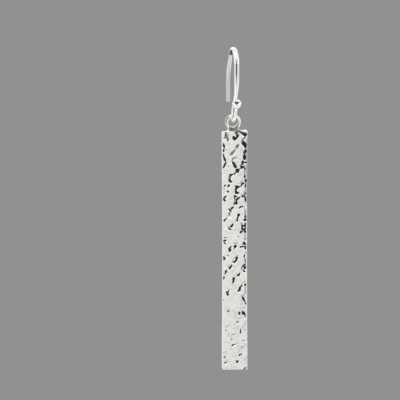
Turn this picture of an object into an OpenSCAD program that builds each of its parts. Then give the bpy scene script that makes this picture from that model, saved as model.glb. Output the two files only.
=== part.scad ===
// Bar earring: a hammered bar that hangs by its cast ring from a ball-ended ear hook.
// Millimetres, +Z up, the bar's hammered face looks along -Y.
// The origin is the inside of the hook's crest, where it sits in the ear lobe.

/* [Bar] */
// Width of the bar
bar_w = 5; // [3:0.1:9]
// Length of the bar
bar_l = 50.5; // [20:0.5:70]
// Thickness of the bar at its border
bar_t = 1.1; // [0.9:0.05:2.5]
// Radius of the bar's four corners, seen from the front
corner_r = 0.3; // [0.1:0.05:0.8]
// How far the ring sits to the side of the bar's middle
ring_shift = -0.3; // [-0.6:0.05:0.6]

/* [Hammered face] */
// Width of the plain border round the face
border_w = 0.3; // [0.15:0.05:0.8]
// Rounding of the border's outer edge
edge_r = 0.08; // [0.03:0.01:0.2]
// Depth of the broad dents
dent_depth = 0.13; // [0.04:0.01:0.25]
// Spacing of the broad dents
dent_pitch = 1.15; // [0.8:0.05:2.5]
// Depth of the sharp strikes
strike_depth = 0.17; // [0.05:0.01:0.3]
// Size of one facet of the face
facet = 0.3; // [0.25:0.01:0.6]

/* [Ring] */
// Thickness of the ring
ring_wire = 0.76; // [0.5:0.02:1.2]
// Width of the ring's hole
ring_hole = 1.7; // [1.4:0.05:3.5]
// Gap between the ring's hole and the bar's top edge
neck_gap = 1; // [0.5:0.05:2]
// Width of the neck between ring and bar
neck_w = 2.3; // [1.2:0.1:2.8]
// Thickness of the neck
neck_t = 0.66; // [0.4:0.02:0.9]
// Radius of the hollow corners where the neck meets the bar
neck_fillet = 0.45; // [0.2:0.05:0.6]

/* [Hook wire] */
// Thickness of the round wire
wire_d = 0.72; // [0.5:0.02:1]
// Width of the wire where its front is flattened
flat_w = 1.02; // [0.7:0.02:1.6]
// Thickness of the wire where its front is flattened
flat_t = 0.64; // [0.4:0.02:0.9]

/* [Hook shape] */
// Radius of the front half of the crest
crest_front_r = 2.45; // [1.8:0.05:5]
// Radius of the back half of the crest
crest_back_r = 2.9; // [2:0.05:6]
// Straight stretch of the front strand below the crest
front_drop = 2.8; // [1:0.1:8]
// Radius of the front strand's long lower bend
bend_r = 9; // [6:0.5:20]
// Angle that the lower bend turns through
bend_turn = 36; // [25:1:42]
// Straight stretch between the lower bend and the eye
slant_l = 1.95; // [1.5:0.05:5]
// Slope of the back leg from upright, where it leaves the crest
leg_slope = 28; // [15:1:35]
// Straight stretch of the back leg
leg_l = 3.4; // [1:0.1:8]
// Radius of the back leg's bends
tail_r = 9; // [5:0.5:20]
// Slope of the back leg's tip, outward from upright
tip_slope = 10; // [0:1:30]

/* [Eye] */
// Width of the eye's opening
eye_hole = 1.84; // [1.5:0.02:3]
// Thickness of the eye's wire
eye_wire = 0.74; // [0.5:0.02:1]
// Slope of the eye's free end from upright, towards the front
end_slope = 13; // [8:1:20]
// Length of the eye's free end, up to the ball's centre
end_l = 2.95; // [2.4:0.05:4]
// Diameter of the ball
ball_d = 1.8; // [1:0.05:2]
// Diameter of the collar under the ball
collar_d = 1.3; // [0.9:0.05:1.6]
// Free play between the eye and the ring's wire
play = 0.05; // [0.02:0.01:0.2]

/* [Hidden] */
$fn = 64;

// Share of a wire's radius at which one wire ends inside the next
seat = 0.96;
// Sides and ring spacing of the shaped wire, and sides of the round wires
wire_sides = 14;
wire_step = 0.7 * wire_d;
round_sides = 32;
// Smallest length that counts as one
tiny = 0.001;

// Thickness of the wire over the crest, half way to the flattened front
crest_t = (wire_d + flat_t) / 2;
crest_z = crest_t / 2;

// The eye: radius of its centreline, and its centre in the hook's plane
eye_r = (eye_hole + eye_wire) / 2;
bend_y = -crest_front_r + bend_r * (1 - cos(bend_turn));
bend_z = crest_z - crest_front_r - front_drop - bend_r * sin(bend_turn);
eye_y = bend_y + slant_l * sin(bend_turn) - eye_r * cos(bend_turn);
eye_z = bend_z - slant_l * cos(bend_turn) - eye_r * sin(bend_turn);

// The ring: its top wire hangs in the bottom of the eye
ring_r = (ring_hole + ring_wire) / 2;
pivot_z = eye_z - eye_hole / 2 + ring_wire / 2 + play;
ring_z = pivot_z - ring_r;
bar_top = ring_z - ring_hole / 2 - neck_gap;

// Depth that the broad dents and strikes may reach, so that the bar keeps its body
max_depth = bar_t / 3;

// The slanted lattice of the broad dents. Shares of the dents' spacing: the spacing of its
// rows, and how far a dent strays from its place across and down the bar
row_pitch = 0.62;
stray_across = 0.5;
stray_down = 0.35;
// Fall of the rows over their run, and how much longer a dent is than wide
row_slant = 0.3;
dent_stretch = 1.3;
// Turn of the dents from upright towards the left, and how far it spreads
dent_turn = 30;
turn_spread = 40;
// Reach of a dent as a share of the spacing, and its depth as a share of dent_depth:
// the least, and how much more it may be
reach_least = 0.62;
reach_more = 0.3;
deep_least = 0.55;
deep_more = 0.45;
// Share of their depth that the dents lose towards the bottom, and the shares of the
// bar's length between which they lose it
calm = 0.4;
calm_from = 0.6;
calm_to = 0.8;
// Share of the border's width over which it runs out into the dents
border_fade = 0.4;

// The deepest strikes of the face. Across and down are shares of the bar's width and length,
// from its left and top edges; length and width of the strike are shares of the bar's width;
// turn is from upright towards the right; deep is a share of strike_depth.
ACROSS = 0; DOWN = 1; LENGTH = 2; WIDTH = 3; TURN = 4; DEEP = 5;
STRIKES = [
    [0.48, 0.025, 0.22, 0.12,  75, 1.0], [0.86, 0.010, 0.28, 0.13, -65, 1.0],
    [0.85, 0.055, 0.30, 0.10, -35, 0.9], [0.11, 0.015, 0.16, 0.10,   0, 0.8],
    [0.06, 0.060, 0.22, 0.10,   0, 0.9], [0.07, 0.107, 0.32, 0.10, -16, 0.9],
    [0.06, 0.139, 0.22, 0.10,  32, 0.8], [0.88, 0.107, 0.26, 0.13,  10, 1.0],
    [0.38, 0.088, 0.20, 0.10,  35, 0.6], [0.45, 0.137, 0.32, 0.12, -34, 1.0],
    [0.86, 0.125, 0.20, 0.10,  75, 0.8], [0.61, 0.159, 0.22, 0.12,  85, 0.9],
    [0.26, 0.192, 0.30, 0.11,  20, 1.0], [0.89, 0.174, 0.34, 0.09,   0, 0.7],
    [0.61, 0.228, 0.22, 0.10,  90, 0.9], [0.54, 0.252, 0.24, 0.11, -15, 1.0],
    [0.07, 0.276, 0.22, 0.10,  20, 0.8], [0.60, 0.280, 0.22, 0.10,  55, 0.9],
    [0.55, 0.292, 0.16, 0.12,  30, 1.0], [0.85, 0.269, 0.22, 0.12,  30, 0.9],
    [0.36, 0.313, 0.20, 0.10,  35, 0.9], [0.75, 0.311, 0.20, 0.10,  65, 0.8],
    [0.62, 0.349, 0.26, 0.11,  15, 1.0], [0.07, 0.366, 0.16, 0.11,  20, 0.9],
    [0.36, 0.388, 0.20, 0.11,  35, 1.0], [0.86, 0.392, 0.26, 0.11,  30, 0.9],
    [0.27, 0.489, 0.18, 0.11,   0, 1.0], [0.49, 0.475, 0.16, 0.12,   0, 1.0],
    [0.82, 0.475, 0.26, 0.10,  85, 0.8], [0.06, 0.525, 0.18, 0.13,   0, 1.0],
    [0.53, 0.534, 0.32, 0.10,  32, 0.9], [0.31, 0.561, 0.26, 0.10,  35, 0.9],
    [0.86, 0.563, 0.26, 0.14,  10, 1.0], [0.65, 0.593, 0.20, 0.10,  32, 0.9],
    [0.42, 0.621, 0.30, 0.10,  15, 0.9], [0.70, 0.649, 0.32, 0.10,  38, 0.9],
    [0.20, 0.669, 0.20, 0.12,   0, 0.9], [0.86, 0.698, 0.28, 0.10, -20, 0.8],
    [0.83, 0.755, 0.20, 0.14,   0, 1.0], [0.65, 0.755, 0.14, 0.10,  20, 0.6],
    [0.71, 0.832, 0.18, 0.10,   0, 0.6], [0.34, 0.868, 0.16, 0.10,  30, 0.6],
    [0.43, 0.893, 0.22, 0.10,  42, 0.7], [0.69, 0.935, 0.18, 0.10,  35, 0.7],
    [0.58, 0.962, 0.16, 0.12,   0, 0.9], [0.10, 0.967, 0.14, 0.10,   0, 0.5]
];

// Fields of one ring of the shaped wire
Y = 0; Z = 1; HEADING = 2;

// A number from 0 to 1 that looks random but is fixed by the two counts and the channel
function scatter(i, j, channel) =
    let (s = sin(i * 127.1 + j * 311.7 + channel * 74.7) * 437.585) s - floor(s);

// A smooth rise from 0 to 1 as v goes from a to b
function rise(v, a, b) = let (t = min(1, max(0, (v - a) / (b - a)))) t * t * (3 - 2 * t);

// One broad dent of the slanted lattice, as its depth at x across and d down the face
function dent(x, d, i, j) =
    let (cx = (i + (j % 2) / 2 + stray_across * (scatter(i, j, 1) - 1 / 2)) * dent_pitch,
         cd = (row_pitch * j + stray_down * (scatter(i, j, 2) - 1 / 2)) * dent_pitch
              - row_slant * cx,
         turn = dent_turn + turn_spread * (scatter(i, j, 3) - 1 / 2),
         along = ((d - cd) * cos(turn) - (x - cx) * sin(turn)) / dent_stretch,
         side = (x - cx) * cos(turn) + (d - cd) * sin(turn),
         reach = dent_pitch * (reach_least + reach_more * scatter(i, j, 4)),
         deep = dent_depth * (deep_least + deep_more * scatter(i, j, 5)))
    deep * (1 - (along * along + side * side) / (reach * reach));

// The deepest of the broad dents round this place
function dents(x, d) =
    let (row = floor((d + row_slant * x) / (row_pitch * dent_pitch)),
         col = floor(x / dent_pitch))
    max([for (j = [row - 2 : row + 3], i = [col - 1 : col + 2]) dent(x, d, i, j)]);

// One sharp strike of the table, as its depth at x across and d down the face
function strike(x, d, s) =
    let (dx = x - (s[ACROSS] - 0.5) * bar_w,
         dd = d - s[DOWN] * bar_l,
         along = (dx * sin(s[TURN]) - dd * cos(s[TURN])) / (s[LENGTH] * bar_w / 2),
         side = (dx * cos(s[TURN]) + dd * sin(s[TURN])) / (s[WIDTH] * bar_w / 2),
         far = along * along + side * side)
    far < 4 ? s[DEEP] * strike_depth * exp(-far) : 0;

// Share of their depth that the broad dents keep, d down the bar
function soften(d) = 1 - calm * rise(d, calm_from * bar_l, calm_to * bar_l);

// The deepest of the sharp strikes that reach this place
function strikes(x, d) =
    max([for (s = STRIKES) abs(d - s[DOWN] * bar_l) < bar_w ? strike(x, d, s) : 0]);

// Depth of the face at x across and d down from the top edge: a border that rounds over
// at its outer edge, and inside it the dents, which are softer low down, and the strikes
function depth(x, d, half) =
    let (in = min(half - abs(x), d, bar_l - d),
         inner = rise(in, border_w * (1 - border_fade), border_w * (1 + border_fade)))
    in < edge_r / 2 ? edge_r
        : inner * min(max_depth, max(0, dents(x, d)) * soften(d) + strikes(x, d));

// Half of the bar's width, d down from the top edge
function half_width(d) =
    let (e = min(d, bar_l - d))
    bar_w / 2 - (e < corner_r ? corner_r - sqrt(corner_r * corner_r - pow(corner_r - e, 2)) : 0);

// Distances of the facet lines from one side of a stretch to the other: close at both
// borders, even between them
function stations(whole, fine) =
    let (n = ceil((whole - 2 * border_w) / facet))
    concat(fine, [for (i = [0 : n]) border_w + (whole - 2 * border_w) * i / n],
           [for (k = [len(fine) - 1 : -1 : 0]) whole - fine[k]]);

// The bar with its hammered face, rounded corners and plain back
module hammered_bar() {
    rounding = [for (a = [0 : 30 : 90]) corner_r * (1 - cos(a))];
    rows = stations(bar_l, [for (e = rounding) if (e < border_w - tiny) e]);
    cols = stations(bar_w, [0, edge_r]);
    last_row = len(rows) - 1;
    last_col = len(cols) - 1;
    per_row = len(cols);
    front = [for (d = rows, c = cols)
        let (half = half_width(d), x = (c / bar_w * 2 - 1) * half)
        [x, -bar_t / 2 + depth(x, d, half), bar_top - d]];
    // Rows where the outline turns, which are the only ones that the back needs
    turns = [for (r = [0 : last_row])
        if (min(rows[r], bar_l - rows[r]) < corner_r + tiny
            || r == 0 || r == last_row) r];
    outline_turns = len(turns);
    back = [for (side = [-1, 1], r = turns)
        [side * half_width(rows[r]), bar_t / 2, bar_top - rows[r]]];
    left = len(front);
    right = left + outline_turns;
    face = [for (r = [0 : last_row - 1], c = [0 : last_col - 1])
        let (a = r * per_row + c)
        each [[a, a + 1, a + per_row + 1], [a, a + per_row + 1, a + per_row]]];
    left_side = [for (k = [0 : outline_turns - 2])
        concat([left + k], [for (r = [turns[k] : turns[k + 1]]) r * per_row], [left + k + 1])];
    right_side = [for (k = [0 : outline_turns - 2])
        concat([right + k + 1],
               [for (r = [turns[k + 1] : -1 : turns[k]]) r * per_row + last_col],
               [right + k])];
    top_end = concat([right], [for (c = [last_col : -1 : 0]) c], [left]);
    bottom_end = concat([left + outline_turns - 1],
                        [for (c = [0 : last_col]) last_row * per_row + c],
                        [right + outline_turns - 1]);
    plain_back = concat([for (k = [0 : outline_turns - 1]) left + k],
                        [for (k = [outline_turns - 1 : -1 : 0]) right + k]);
    polyhedron(concat(front, back),
               concat(face, left_side, right_side, [top_end, bottom_end, plain_back]));
}

// The ring at the top of the bar, in the plane of the bar
module ring() {
    translate([ring_shift, 0, ring_z]) rotate([90, 0, 0])
        rotate_extrude() translate([ring_r, 0]) circle(d = ring_wire, $fn = round_sides);
}

// The thin neck between ring and bar, with hollow corners over the bar's top edge
module neck() {
    foot = bar_w / 4;
    translate([ring_shift, neck_t / 2, bar_top]) rotate([90, 0, 0]) linear_extrude(neck_t)
        difference() {
            translate([-neck_w / 2 - neck_fillet, -foot])
                square([neck_w + 2 * neck_fillet, foot + ring_z - bar_top]);
            for (side = [-1, 1]) translate([side * (neck_w / 2 + neck_fillet), neck_fillet]) {
                circle(r = neck_fillet);
                translate([-neck_fillet, 0]) square([2 * neck_fillet, ring_z - bar_top]);
            }
            translate([0, ring_z - bar_top]) circle(r = ring_r);
        }
}

module bar_drop() color("silver") translate([0, eye_y, 0]) {
    hammered_bar();
    ring();
    neck();
}

// A place along a stretch of constant bend, as [y, z, heading]. The stretch starts at the
// place given, is l long and turns by so many degrees; share is how far along it.
function along(start, l, turn, share) =
    let (h = start[HEADING] + turn * share, r = turn == 0 ? 0 : l / (turn * PI / 180))
    turn == 0
        ? [start[Y] + l * share * cos(h), start[Z] + l * share * sin(h), h]
        : [start[Y] + r * (sin(h) - sin(start[HEADING])),
           start[Z] - r * (cos(h) - cos(start[HEADING])), h];

// All places of a route of [length, turn] stretches, each as [y, z, heading, distance]
function route(start, moves, k = 0, gone = 0) =
    k == len(moves) ? [concat(start, [gone])]
    : let (l = moves[k][0], turn = moves[k][1], n = ceil(l / wire_step))
      concat([for (i = [0 : n - 1]) concat(along(start, l, turn, i / n), [gone + l * i / n])],
             route(along(start, l, turn, 1), moves, k + 1, gone + l));

// Length of an arc of radius r that turns through so many degrees
function arc_l(r, turn) = r * turn * PI / 180;

// The wire from the crest down its front into the start of the eye, and from the crest
// down its back to the tip. The tail first swings in past upright, then out to its tip.
FRONT = [
    [arc_l(crest_front_r, 90), 90],
    [front_drop, 0],
    [arc_l(bend_r, bend_turn), bend_turn],
    [slant_l, 0],
    [arc_l(eye_r, 12), -12]
];
tail_in = 6;
BACK = [
    [arc_l(crest_back_r, 90 - leg_slope), leg_slope - 90],
    [leg_l, 0],
    [arc_l(tail_r, leg_slope + tail_in), -leg_slope - tail_in],
    [arc_l(tail_r, tail_in + tip_slope), tail_in + tip_slope]
];

// Distances along the wire from the crest, front positive, between which its flattening
// sets in, and between which it runs out again
strand_end = arc_l(crest_front_r, 90) + front_drop;
flat_from = -0.8 * crest_back_r;
flat_full = 0.6 * crest_front_r;
flat_out = strand_end + 0.7 * arc_l(bend_r, bend_turn);

// Share of the full flattening at a distance along the wire from the crest
function flatness(s) = rise(s, flat_from, flat_full) * (1 - rise(s, strand_end, flat_out));

// Diameter of the unflattened wire there, which thins a little to seat in the eye's wire
slant_end = strand_end + arc_l(bend_r, bend_turn) + slant_l;
function plain_d(s) =
    let (w = rise(s, slant_end - slant_l, slant_end)) wire_d * (1 - w) + eye_wire * seat * w;

// One ring of points round the wire: an oval, wide across the hook's plane where flattened
function wire_ring(p, s, scale = 1) =
    let (f = flatness(s), d = plain_d(s),
         half_w = scale * (d + (flat_w - wire_d) * f) / 2,
         half_t = scale * (d + (flat_t - wire_d) * f) / 2)
    [for (k = [0 : wire_sides - 1]) let (a = 360 * k / wire_sides)
        [half_w * cos(a),
         p[Y] - half_t * sin(a) * sin(p[HEADING]),
         p[Z] + half_t * sin(a) * cos(p[HEADING])]];

// The shaped wire: tip, back leg, crest and front strand, as one closed skin
module shaped_wire() {
    front = route([0, crest_z, 180], FRONT);
    back = route([0, crest_z, 0], BACK);
    tip = back[len(back) - 1];
    half = wire_d / 2;
    tip_rings = [for (a = [15, 40, 65])
        wire_ring([tip[Y] + half * (1 - cos(a)) * cos(tip[HEADING] + 180),
                   tip[Z] + half * (1 - cos(a)) * sin(tip[HEADING] + 180),
                   tip[HEADING] + 180], -tip[3], sin(a))];
    back_rings = [for (i = [len(back) - 1 : -1 : 1]) if (tip[3] - back[i][3] > half)
        wire_ring([back[i][Y], back[i][Z], back[i][HEADING] + 180], -back[i][3])];
    front_rings = [for (p = front) wire_ring(p, p[3])];
    rings = concat(tip_rings, back_rings, front_rings);
    n = wire_sides;
    last = len(rings) - 1;
    polyhedron([for (r = rings) each r],
        concat([[for (k = [n - 1 : -1 : 0]) k]],
               [for (i = [0 : last - 1], k = [0 : n - 1])
                   let (a = i * n + k, b = i * n + (k + 1) % n)
                   each [[a, b, b + n], [a, b + n, a + n]]],
               [[for (k = [0 : n - 1]) last * n + k]]));
}

// The eye: its wire runs on from the front strand, down the back, round and up the front
module eye() {
    from = 180 + end_slope;
    translate([0, eye_y, eye_z]) rotate([90, 0, 90])
        rotate_extrude(angle = 360 - from + bend_turn, start = from)
            translate([eye_r, 0]) circle(d = eye_wire, $fn = round_sides);
}

// The eye's free end: the wire runs up from the eye into a collar and the ball
module ball_end() {
    sunk = eye_wire / 4;
    thin = eye_wire * seat;
    // The collar starts and ends so far below the ball's centre
    collar_from = 0.6 * ball_d;
    collar_to = 0.18 * ball_d;
    at_y = eye_y - eye_r * cos(end_slope);
    at_z = eye_z - eye_r * sin(end_slope);
    translate([0, at_y, at_z]) rotate([end_slope, 0, 0]) {
        translate([0, 0, -sunk]) cylinder(d = thin, h = end_l + sunk, $fn = round_sides);
        translate([0, 0, end_l - collar_from])
            cylinder(d1 = thin * seat, d2 = collar_d, h = collar_from - collar_to,
                     $fn = round_sides);
        translate([0, 0, end_l]) sphere(d = ball_d);
    }
}

module ear_hook() color("silver") {
    shaped_wire();
    eye();
    ball_end();
}

ear_hook();
bar_drop();
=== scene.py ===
"""Looks of a hammered silver bar earring that hangs from a ball-ended ear hook.

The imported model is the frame. One finer surface stands for each of its two nodes and rides on
its body, and the bar's width, thickness and place are those of its node. Shapes are worked
out in millimetres, in the model's own frame, and a mesh is made from them in metres. The
hook's wire lies in the plane x = 0, which its eye leaves by a small lean, and the bar's
hammered face looks along -Y.
"""

import logging
import math
from dataclasses import dataclass, field
from enum import Enum, IntEnum
from typing import ClassVar

import bpy
import numpy as np
from mathutils import Matrix, Vector

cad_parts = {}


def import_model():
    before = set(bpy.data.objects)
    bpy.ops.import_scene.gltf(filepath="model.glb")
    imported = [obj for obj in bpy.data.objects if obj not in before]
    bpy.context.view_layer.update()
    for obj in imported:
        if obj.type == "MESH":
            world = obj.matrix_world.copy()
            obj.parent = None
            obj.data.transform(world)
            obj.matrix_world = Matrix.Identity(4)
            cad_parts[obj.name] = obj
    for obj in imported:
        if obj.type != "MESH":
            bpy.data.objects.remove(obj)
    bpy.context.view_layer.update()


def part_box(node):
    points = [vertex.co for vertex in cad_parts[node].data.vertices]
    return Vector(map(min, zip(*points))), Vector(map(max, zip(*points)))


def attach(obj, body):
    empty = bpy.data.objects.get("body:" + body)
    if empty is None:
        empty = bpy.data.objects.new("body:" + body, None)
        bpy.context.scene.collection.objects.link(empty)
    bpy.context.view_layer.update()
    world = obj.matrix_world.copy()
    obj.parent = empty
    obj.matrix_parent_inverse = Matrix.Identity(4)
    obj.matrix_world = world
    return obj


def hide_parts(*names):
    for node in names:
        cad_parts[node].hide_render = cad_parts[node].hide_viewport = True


log = logging.getLogger("bar_earring")

METRES_PER_MM = 0.001
# Attribute of a mesh that says how dark each of its points is painted, for tarnish and for painted shade and
# reflections, from 0 to 1
TARNISH_AND_SHADE_ATTRIBUTE = "recess"
# Edges that turn by more than this many degrees stay sharp
SHARP_ANGLE = 60

# Degrees by which a step of either count, or of the channel, turns the sine of scatter,
# and the factor of that sine
SCATTER_STEPS = (127.1, 311.7, 74.7)
SCATTER_FACTOR = 437.585
# Share of an arc's reach over which about stays one
ARC_CORE = 0.45

# Start and end of a smooth rise or fall
Span = tuple[float, float]
# Middle and reach of an arc, in degrees
Arc = tuple[float, float]
Colour = tuple[float, float, float]
Array = np.ndarray
# A node and one of its outputs, and a node and one of its inputs
Wire = tuple[bpy.types.Node, str | int, bpy.types.Node, str | int]


class Body(Enum):
    """The two bodies of the model that a piece may ride on."""

    HOOK = "hook"
    DROP = "drop"


class Node(Enum):
    """The two nodes of the model that the finer surfaces stand for."""

    EAR_HOOK = "ear_hook"
    BAR_DROP = "bar_drop"


class Slot(Enum):
    """The material slots of the record."""

    HOOK_SILVER = "hook_silver"
    BAR_SILVER = "bar_silver"


# Numbers and shapes


def rise(value: Array, start: float, end: float) -> Array:
    """Rises smoothly from 0 at start to 1 at end, as t squared times (3 - 2 t).

    Args:
        value: where the rise is read.
        start: the value at which it leaves 0.
        end: the value at which it reaches 1.

    Returns:
        The rise at each value.
    """
    t = np.clip((value - start) / (end - start), 0.0, 1.0)
    return t * t * (3.0 - 2.0 * t)


def fall(value: Array, start: float, end: float) -> Array:
    """Falls smoothly from 1 at start to 0 at end, as one less the rise."""
    return 1.0 - rise(value, start, end)


def quarter(inset: Array, radius: float) -> Array:
    """Depth of a rounded edge: a quarter circle that falls from its radius to 0.

    Args:
        inset: distance in from the edge.
        radius: the circle's radius, which is also how far in it reaches.

    Returns:
        The depth at each distance.
    """
    left = radius - np.clip(inset, 0.0, radius)
    return radius - np.sqrt(np.maximum(radius * radius - left * left, 0.0))


def about(u: Array, arc: Arc) -> Array:
    """Stays one near the middle of an arc, and falls smoothly to 0 at its reach.

    Args:
        u: angles in radians.
        arc: its middle and its reach to either side, in degrees.

    Returns:
        A number from 0 to 1 for each angle.
    """
    middle, reach = arc
    away = np.degrees(np.arccos(np.cos(u - math.radians(middle))))
    return fall(away, ARC_CORE * reach, reach)


def once_round(count: int) -> Array:
    """Even angles once round, in radians."""
    return np.linspace(0, 2 * np.pi, count, endpoint=False)


def squared_off(wave: Array, power: float) -> Array:
    """Superellipse from a sine or cosine: its size to a power below 1, with its own sign."""
    return np.sign(wave) * np.abs(wave) ** power


def scatter(i: Array, j: Array, channel: float) -> Array:
    """Gives fixed numbers that look random: the fraction of a large multiple of a sine.

    Args:
        i: first count of a lattice point.
        j: second count of a lattice point.
        channel: which of several independent numbers of that point is wanted.

    Returns:
        A number from 0 to 1 for each lattice point.
    """
    a, b, c = SCATTER_STEPS
    value = np.sin(np.radians(i * a + j * b + channel * c)) * SCATTER_FACTOR
    return value - np.floor(value)


@dataclass(frozen=True)
class Noise:
    """Value noise: scattered numbers at the corners of square cells, blended smoothly.

    The height is the most that it gives either way, the cell is the side of a cell in
    millimetres, and the channel picks one of several independent patterns.
    """

    height: float
    cell: float
    channel: int

    def at(self, x: Array, d: Array) -> Array:
        """Reads the noise.

        Args:
            x: place across, in millimetres.
            d: place down, in millimetres.

        Returns:
            A number for each place.
        """
        i, j = np.floor(x / self.cell), np.floor(d / self.cell)
        u, v = rise(x / self.cell - i, 0.0, 1.0), rise(d / self.cell - j, 0.0, 1.0)
        upper, lower = (
            scatter(i, row, self.channel) * (1 - u) + scatter(i + 1, row, self.channel) * u
            for row in (j, j + 1))
        return self.height * (2.0 * (upper * (1 - v) + lower * v) - 1.0)


@dataclass(frozen=True)
class Film:
    """An even level with noise laid over it, such as a cloudy film."""

    level: float
    clouds: tuple[Noise, ...]

    def at(self, x: Array, d: Array) -> Array:
        """Reads the film at places across and down, in millimetres."""
        return sum((cloud.at(x, d) for cloud in self.clouds), self.level)


def stations(whole: float, close: Array, step: float) -> Array:
    """Distances from one side of a stretch to the other: close at both ends, even between.

    Args:
        whole: length of the stretch.
        close: the close distances at its start, which are mirrored at its end.
        step: wanted spacing between them.

    Returns:
        The distances in rising order, from 0 to the whole length.
    """
    inner = whole - 2.0 * close[-1]
    count = int(math.ceil(inner / step))
    even = close[-1] + inner * np.arange(1, count) / count
    return np.concatenate([close, even, (whole - close)[::-1]])


@dataclass
class Shell:
    """One closed surface: points in millimetres, faces, and how dark each point is painted, for tarnish and
    painted shade.
    """

    points: Array
    faces: list[Array]
    tarnish: Array

    def triangles(self) -> Array:
        """Splits every face into a fan of triangles from its first corner."""
        fans = [np.stack([f[:, [0] * (f.shape[1] - 2)], f[:, 1:-1], f[:, 2:]], axis=-1)
                for f in self.faces]
        return np.concatenate([fan.reshape(-1, 3) for fan in fans])

    def facing_out(self) -> "Shell":
        """Turns the faces round if the volume that they enclose comes out negative.

        The volume is the sum, over the triangles, of a sixth of a . (b x c).

        Returns:
            The same shell, with its faces pointing outwards.
        """
        a, b, c = (self.points[corner] for corner in self.triangles().T)
        volume = np.einsum("ij,ij->i", a, np.cross(b, c)).sum() / 6.0
        if volume < 0:
            self.faces = [f[:, ::-1] for f in self.faces]
        return self

    @staticmethod
    def tube(rings: Array, tarnish: Array) -> "Shell":
        """Joins closed rings of equal count into a tube, with one flat face on each end.

        Args:
            rings: points as rings x points of a ring x 3.
            tarnish: how dark each point is painted, one number for each point, as rings x points of a ring.

        Returns:
            The closed tube.
        """
        count, around = rings.shape[:2]
        index = np.arange(count * around).reshape(count, around)
        onward = np.roll(index, -1, axis=1)
        sides = np.stack([index[:-1], onward[:-1], onward[1:], index[1:]], axis=-1)
        return Shell(rings.reshape(-1, 3),
                     [sides.reshape(-1, 4), index[:1, ::-1], index[-1:]],
                     tarnish.reshape(-1)).facing_out()

    @staticmethod
    def together(shells: list["Shell"]) -> "Shell":
        """Puts several shells into one set of points and faces.

        Args:
            shells: the shells, each of them closed.

        Returns:
            One shell that holds them all.
        """
        offsets = np.cumsum([0] + [len(s.points) for s in shells[:-1]])
        faces = [f + offset for s, offset in zip(shells, offsets) for f in s.faces]
        return Shell(np.concatenate([s.points for s in shells]), faces,
                     np.concatenate([s.tarnish for s in shells]))

    def to_object(self, name: str, material: bpy.types.Material) -> bpy.types.Object:
        """Makes the mesh object, in metres, with the painted tarnish and shade as an attribute.

        Args:
            name: name of the piece.
            material: its finish.

        Returns:
            The new object, linked to the scene.
        """
        mesh = bpy.data.meshes.new(name)
        corners = np.concatenate([f.reshape(-1) for f in self.faces]).astype(np.int32)
        sides = np.concatenate([np.full(len(f), f.shape[1]) for f in self.faces])
        starts = np.concatenate([[0], np.cumsum(sides)[:-1]]).astype(np.int32)
        mesh.vertices.add(len(self.points))
        mesh.vertices.foreach_set("co", (self.points * METRES_PER_MM).ravel())
        mesh.loops.add(len(corners))
        mesh.loops.foreach_set("vertex_index", corners)
        mesh.polygons.add(len(starts))
        mesh.polygons.foreach_set("loop_start", starts)
        mesh.update(calc_edges=True)
        mesh.polygons.foreach_set("use_smooth", np.ones(len(starts), bool))
        mesh.set_sharp_from_angle(angle=math.radians(SHARP_ANGLE))
        shade = mesh.attributes.new(TARNISH_AND_SHADE_ATTRIBUTE, "FLOAT", "POINT")
        shade.data.foreach_set("value", self.tarnish.astype(np.float32))
        mesh.materials.append(material)
        piece = bpy.data.objects.new(name, mesh)
        bpy.context.scene.collection.objects.link(piece)
        return piece


# Finishes


@dataclass(frozen=True)
class SilverFinish:
    """One polished silver: its colours, its gloss, and how it darkens for tarnish and painted shade.

    Heights and reaches are in millimetres, and the wear's scale is that of noise in metres.
    """

    slot: Slot
    silver: Colour
    tarnish: Colour
    warm_tarnish: Colour
    warm_height: float
    warm_reach: float
    roughness: float
    dull_roughness: float
    wear_scale: float
    wear_height: float
    haze: float


class Way(Enum):
    """The two ways that a socket of a node group faces."""

    IN = "INPUT"
    OUT = "OUTPUT"


class Kind(Enum):
    """The two kinds of socket that the node groups have."""

    VALUE = "NodeSocketFloat"
    COLOUR = "NodeSocketColor"


@dataclass
class NodeBuilder:
    """Puts nodes into one shader tree, and joins them."""

    tree: bpy.types.NodeTree

    def node(self, kind: str, inputs: dict[str | int, object] | None = None,
             **settings: object) -> bpy.types.Node:
        """Adds a node, sets its properties, and gives some of its inputs their values.

        Args:
            kind: Blender's name for the kind of node.
            inputs: values of its inputs, by their name or their place.
            settings: the properties to set on it.

        Returns:
            The new node.
        """
        made = self.tree.nodes.new(kind)
        for key, value in settings.items():
            setattr(made, key, value)
        for key, value in (inputs or {}).items():
            made.inputs[key].default_value = value
        return made

    def join(self, *wires: Wire) -> None:
        """Draws each wire from its output to its input."""
        for source, output, target, entrance in wires:
            self.tree.links.new(source.outputs[output], target.inputs[entrance])


@dataclass
class GroupBuilder(NodeBuilder):
    """Builds a shader node group with named inputs and outputs."""

    def __post_init__(self) -> None:
        """Adds the nodes that stand for the group's inputs and outputs."""
        self.entry = self.tree.nodes.new("NodeGroupInput")
        self.exit = self.tree.nodes.new("NodeGroupOutput")

    @classmethod
    def named(cls, name: str) -> "GroupBuilder":
        """Starts an empty group of that name."""
        return cls(bpy.data.node_groups.new(name, "ShaderNodeTree"))

    def socket(self, name: str, way: Way, kind: Kind, default: float | None = None) -> None:
        """Adds a socket to the group.

        Args:
            name: what the socket is called.
            way: whether it leads in or out.
            kind: whether it carries a number or a colour.
            default: the number that it has at first, if one is given.
        """
        made = self.tree.interface.new_socket(name, in_out=way.value, socket_type=kind.value)
        if default is not None:
            made.default_value = default


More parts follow.
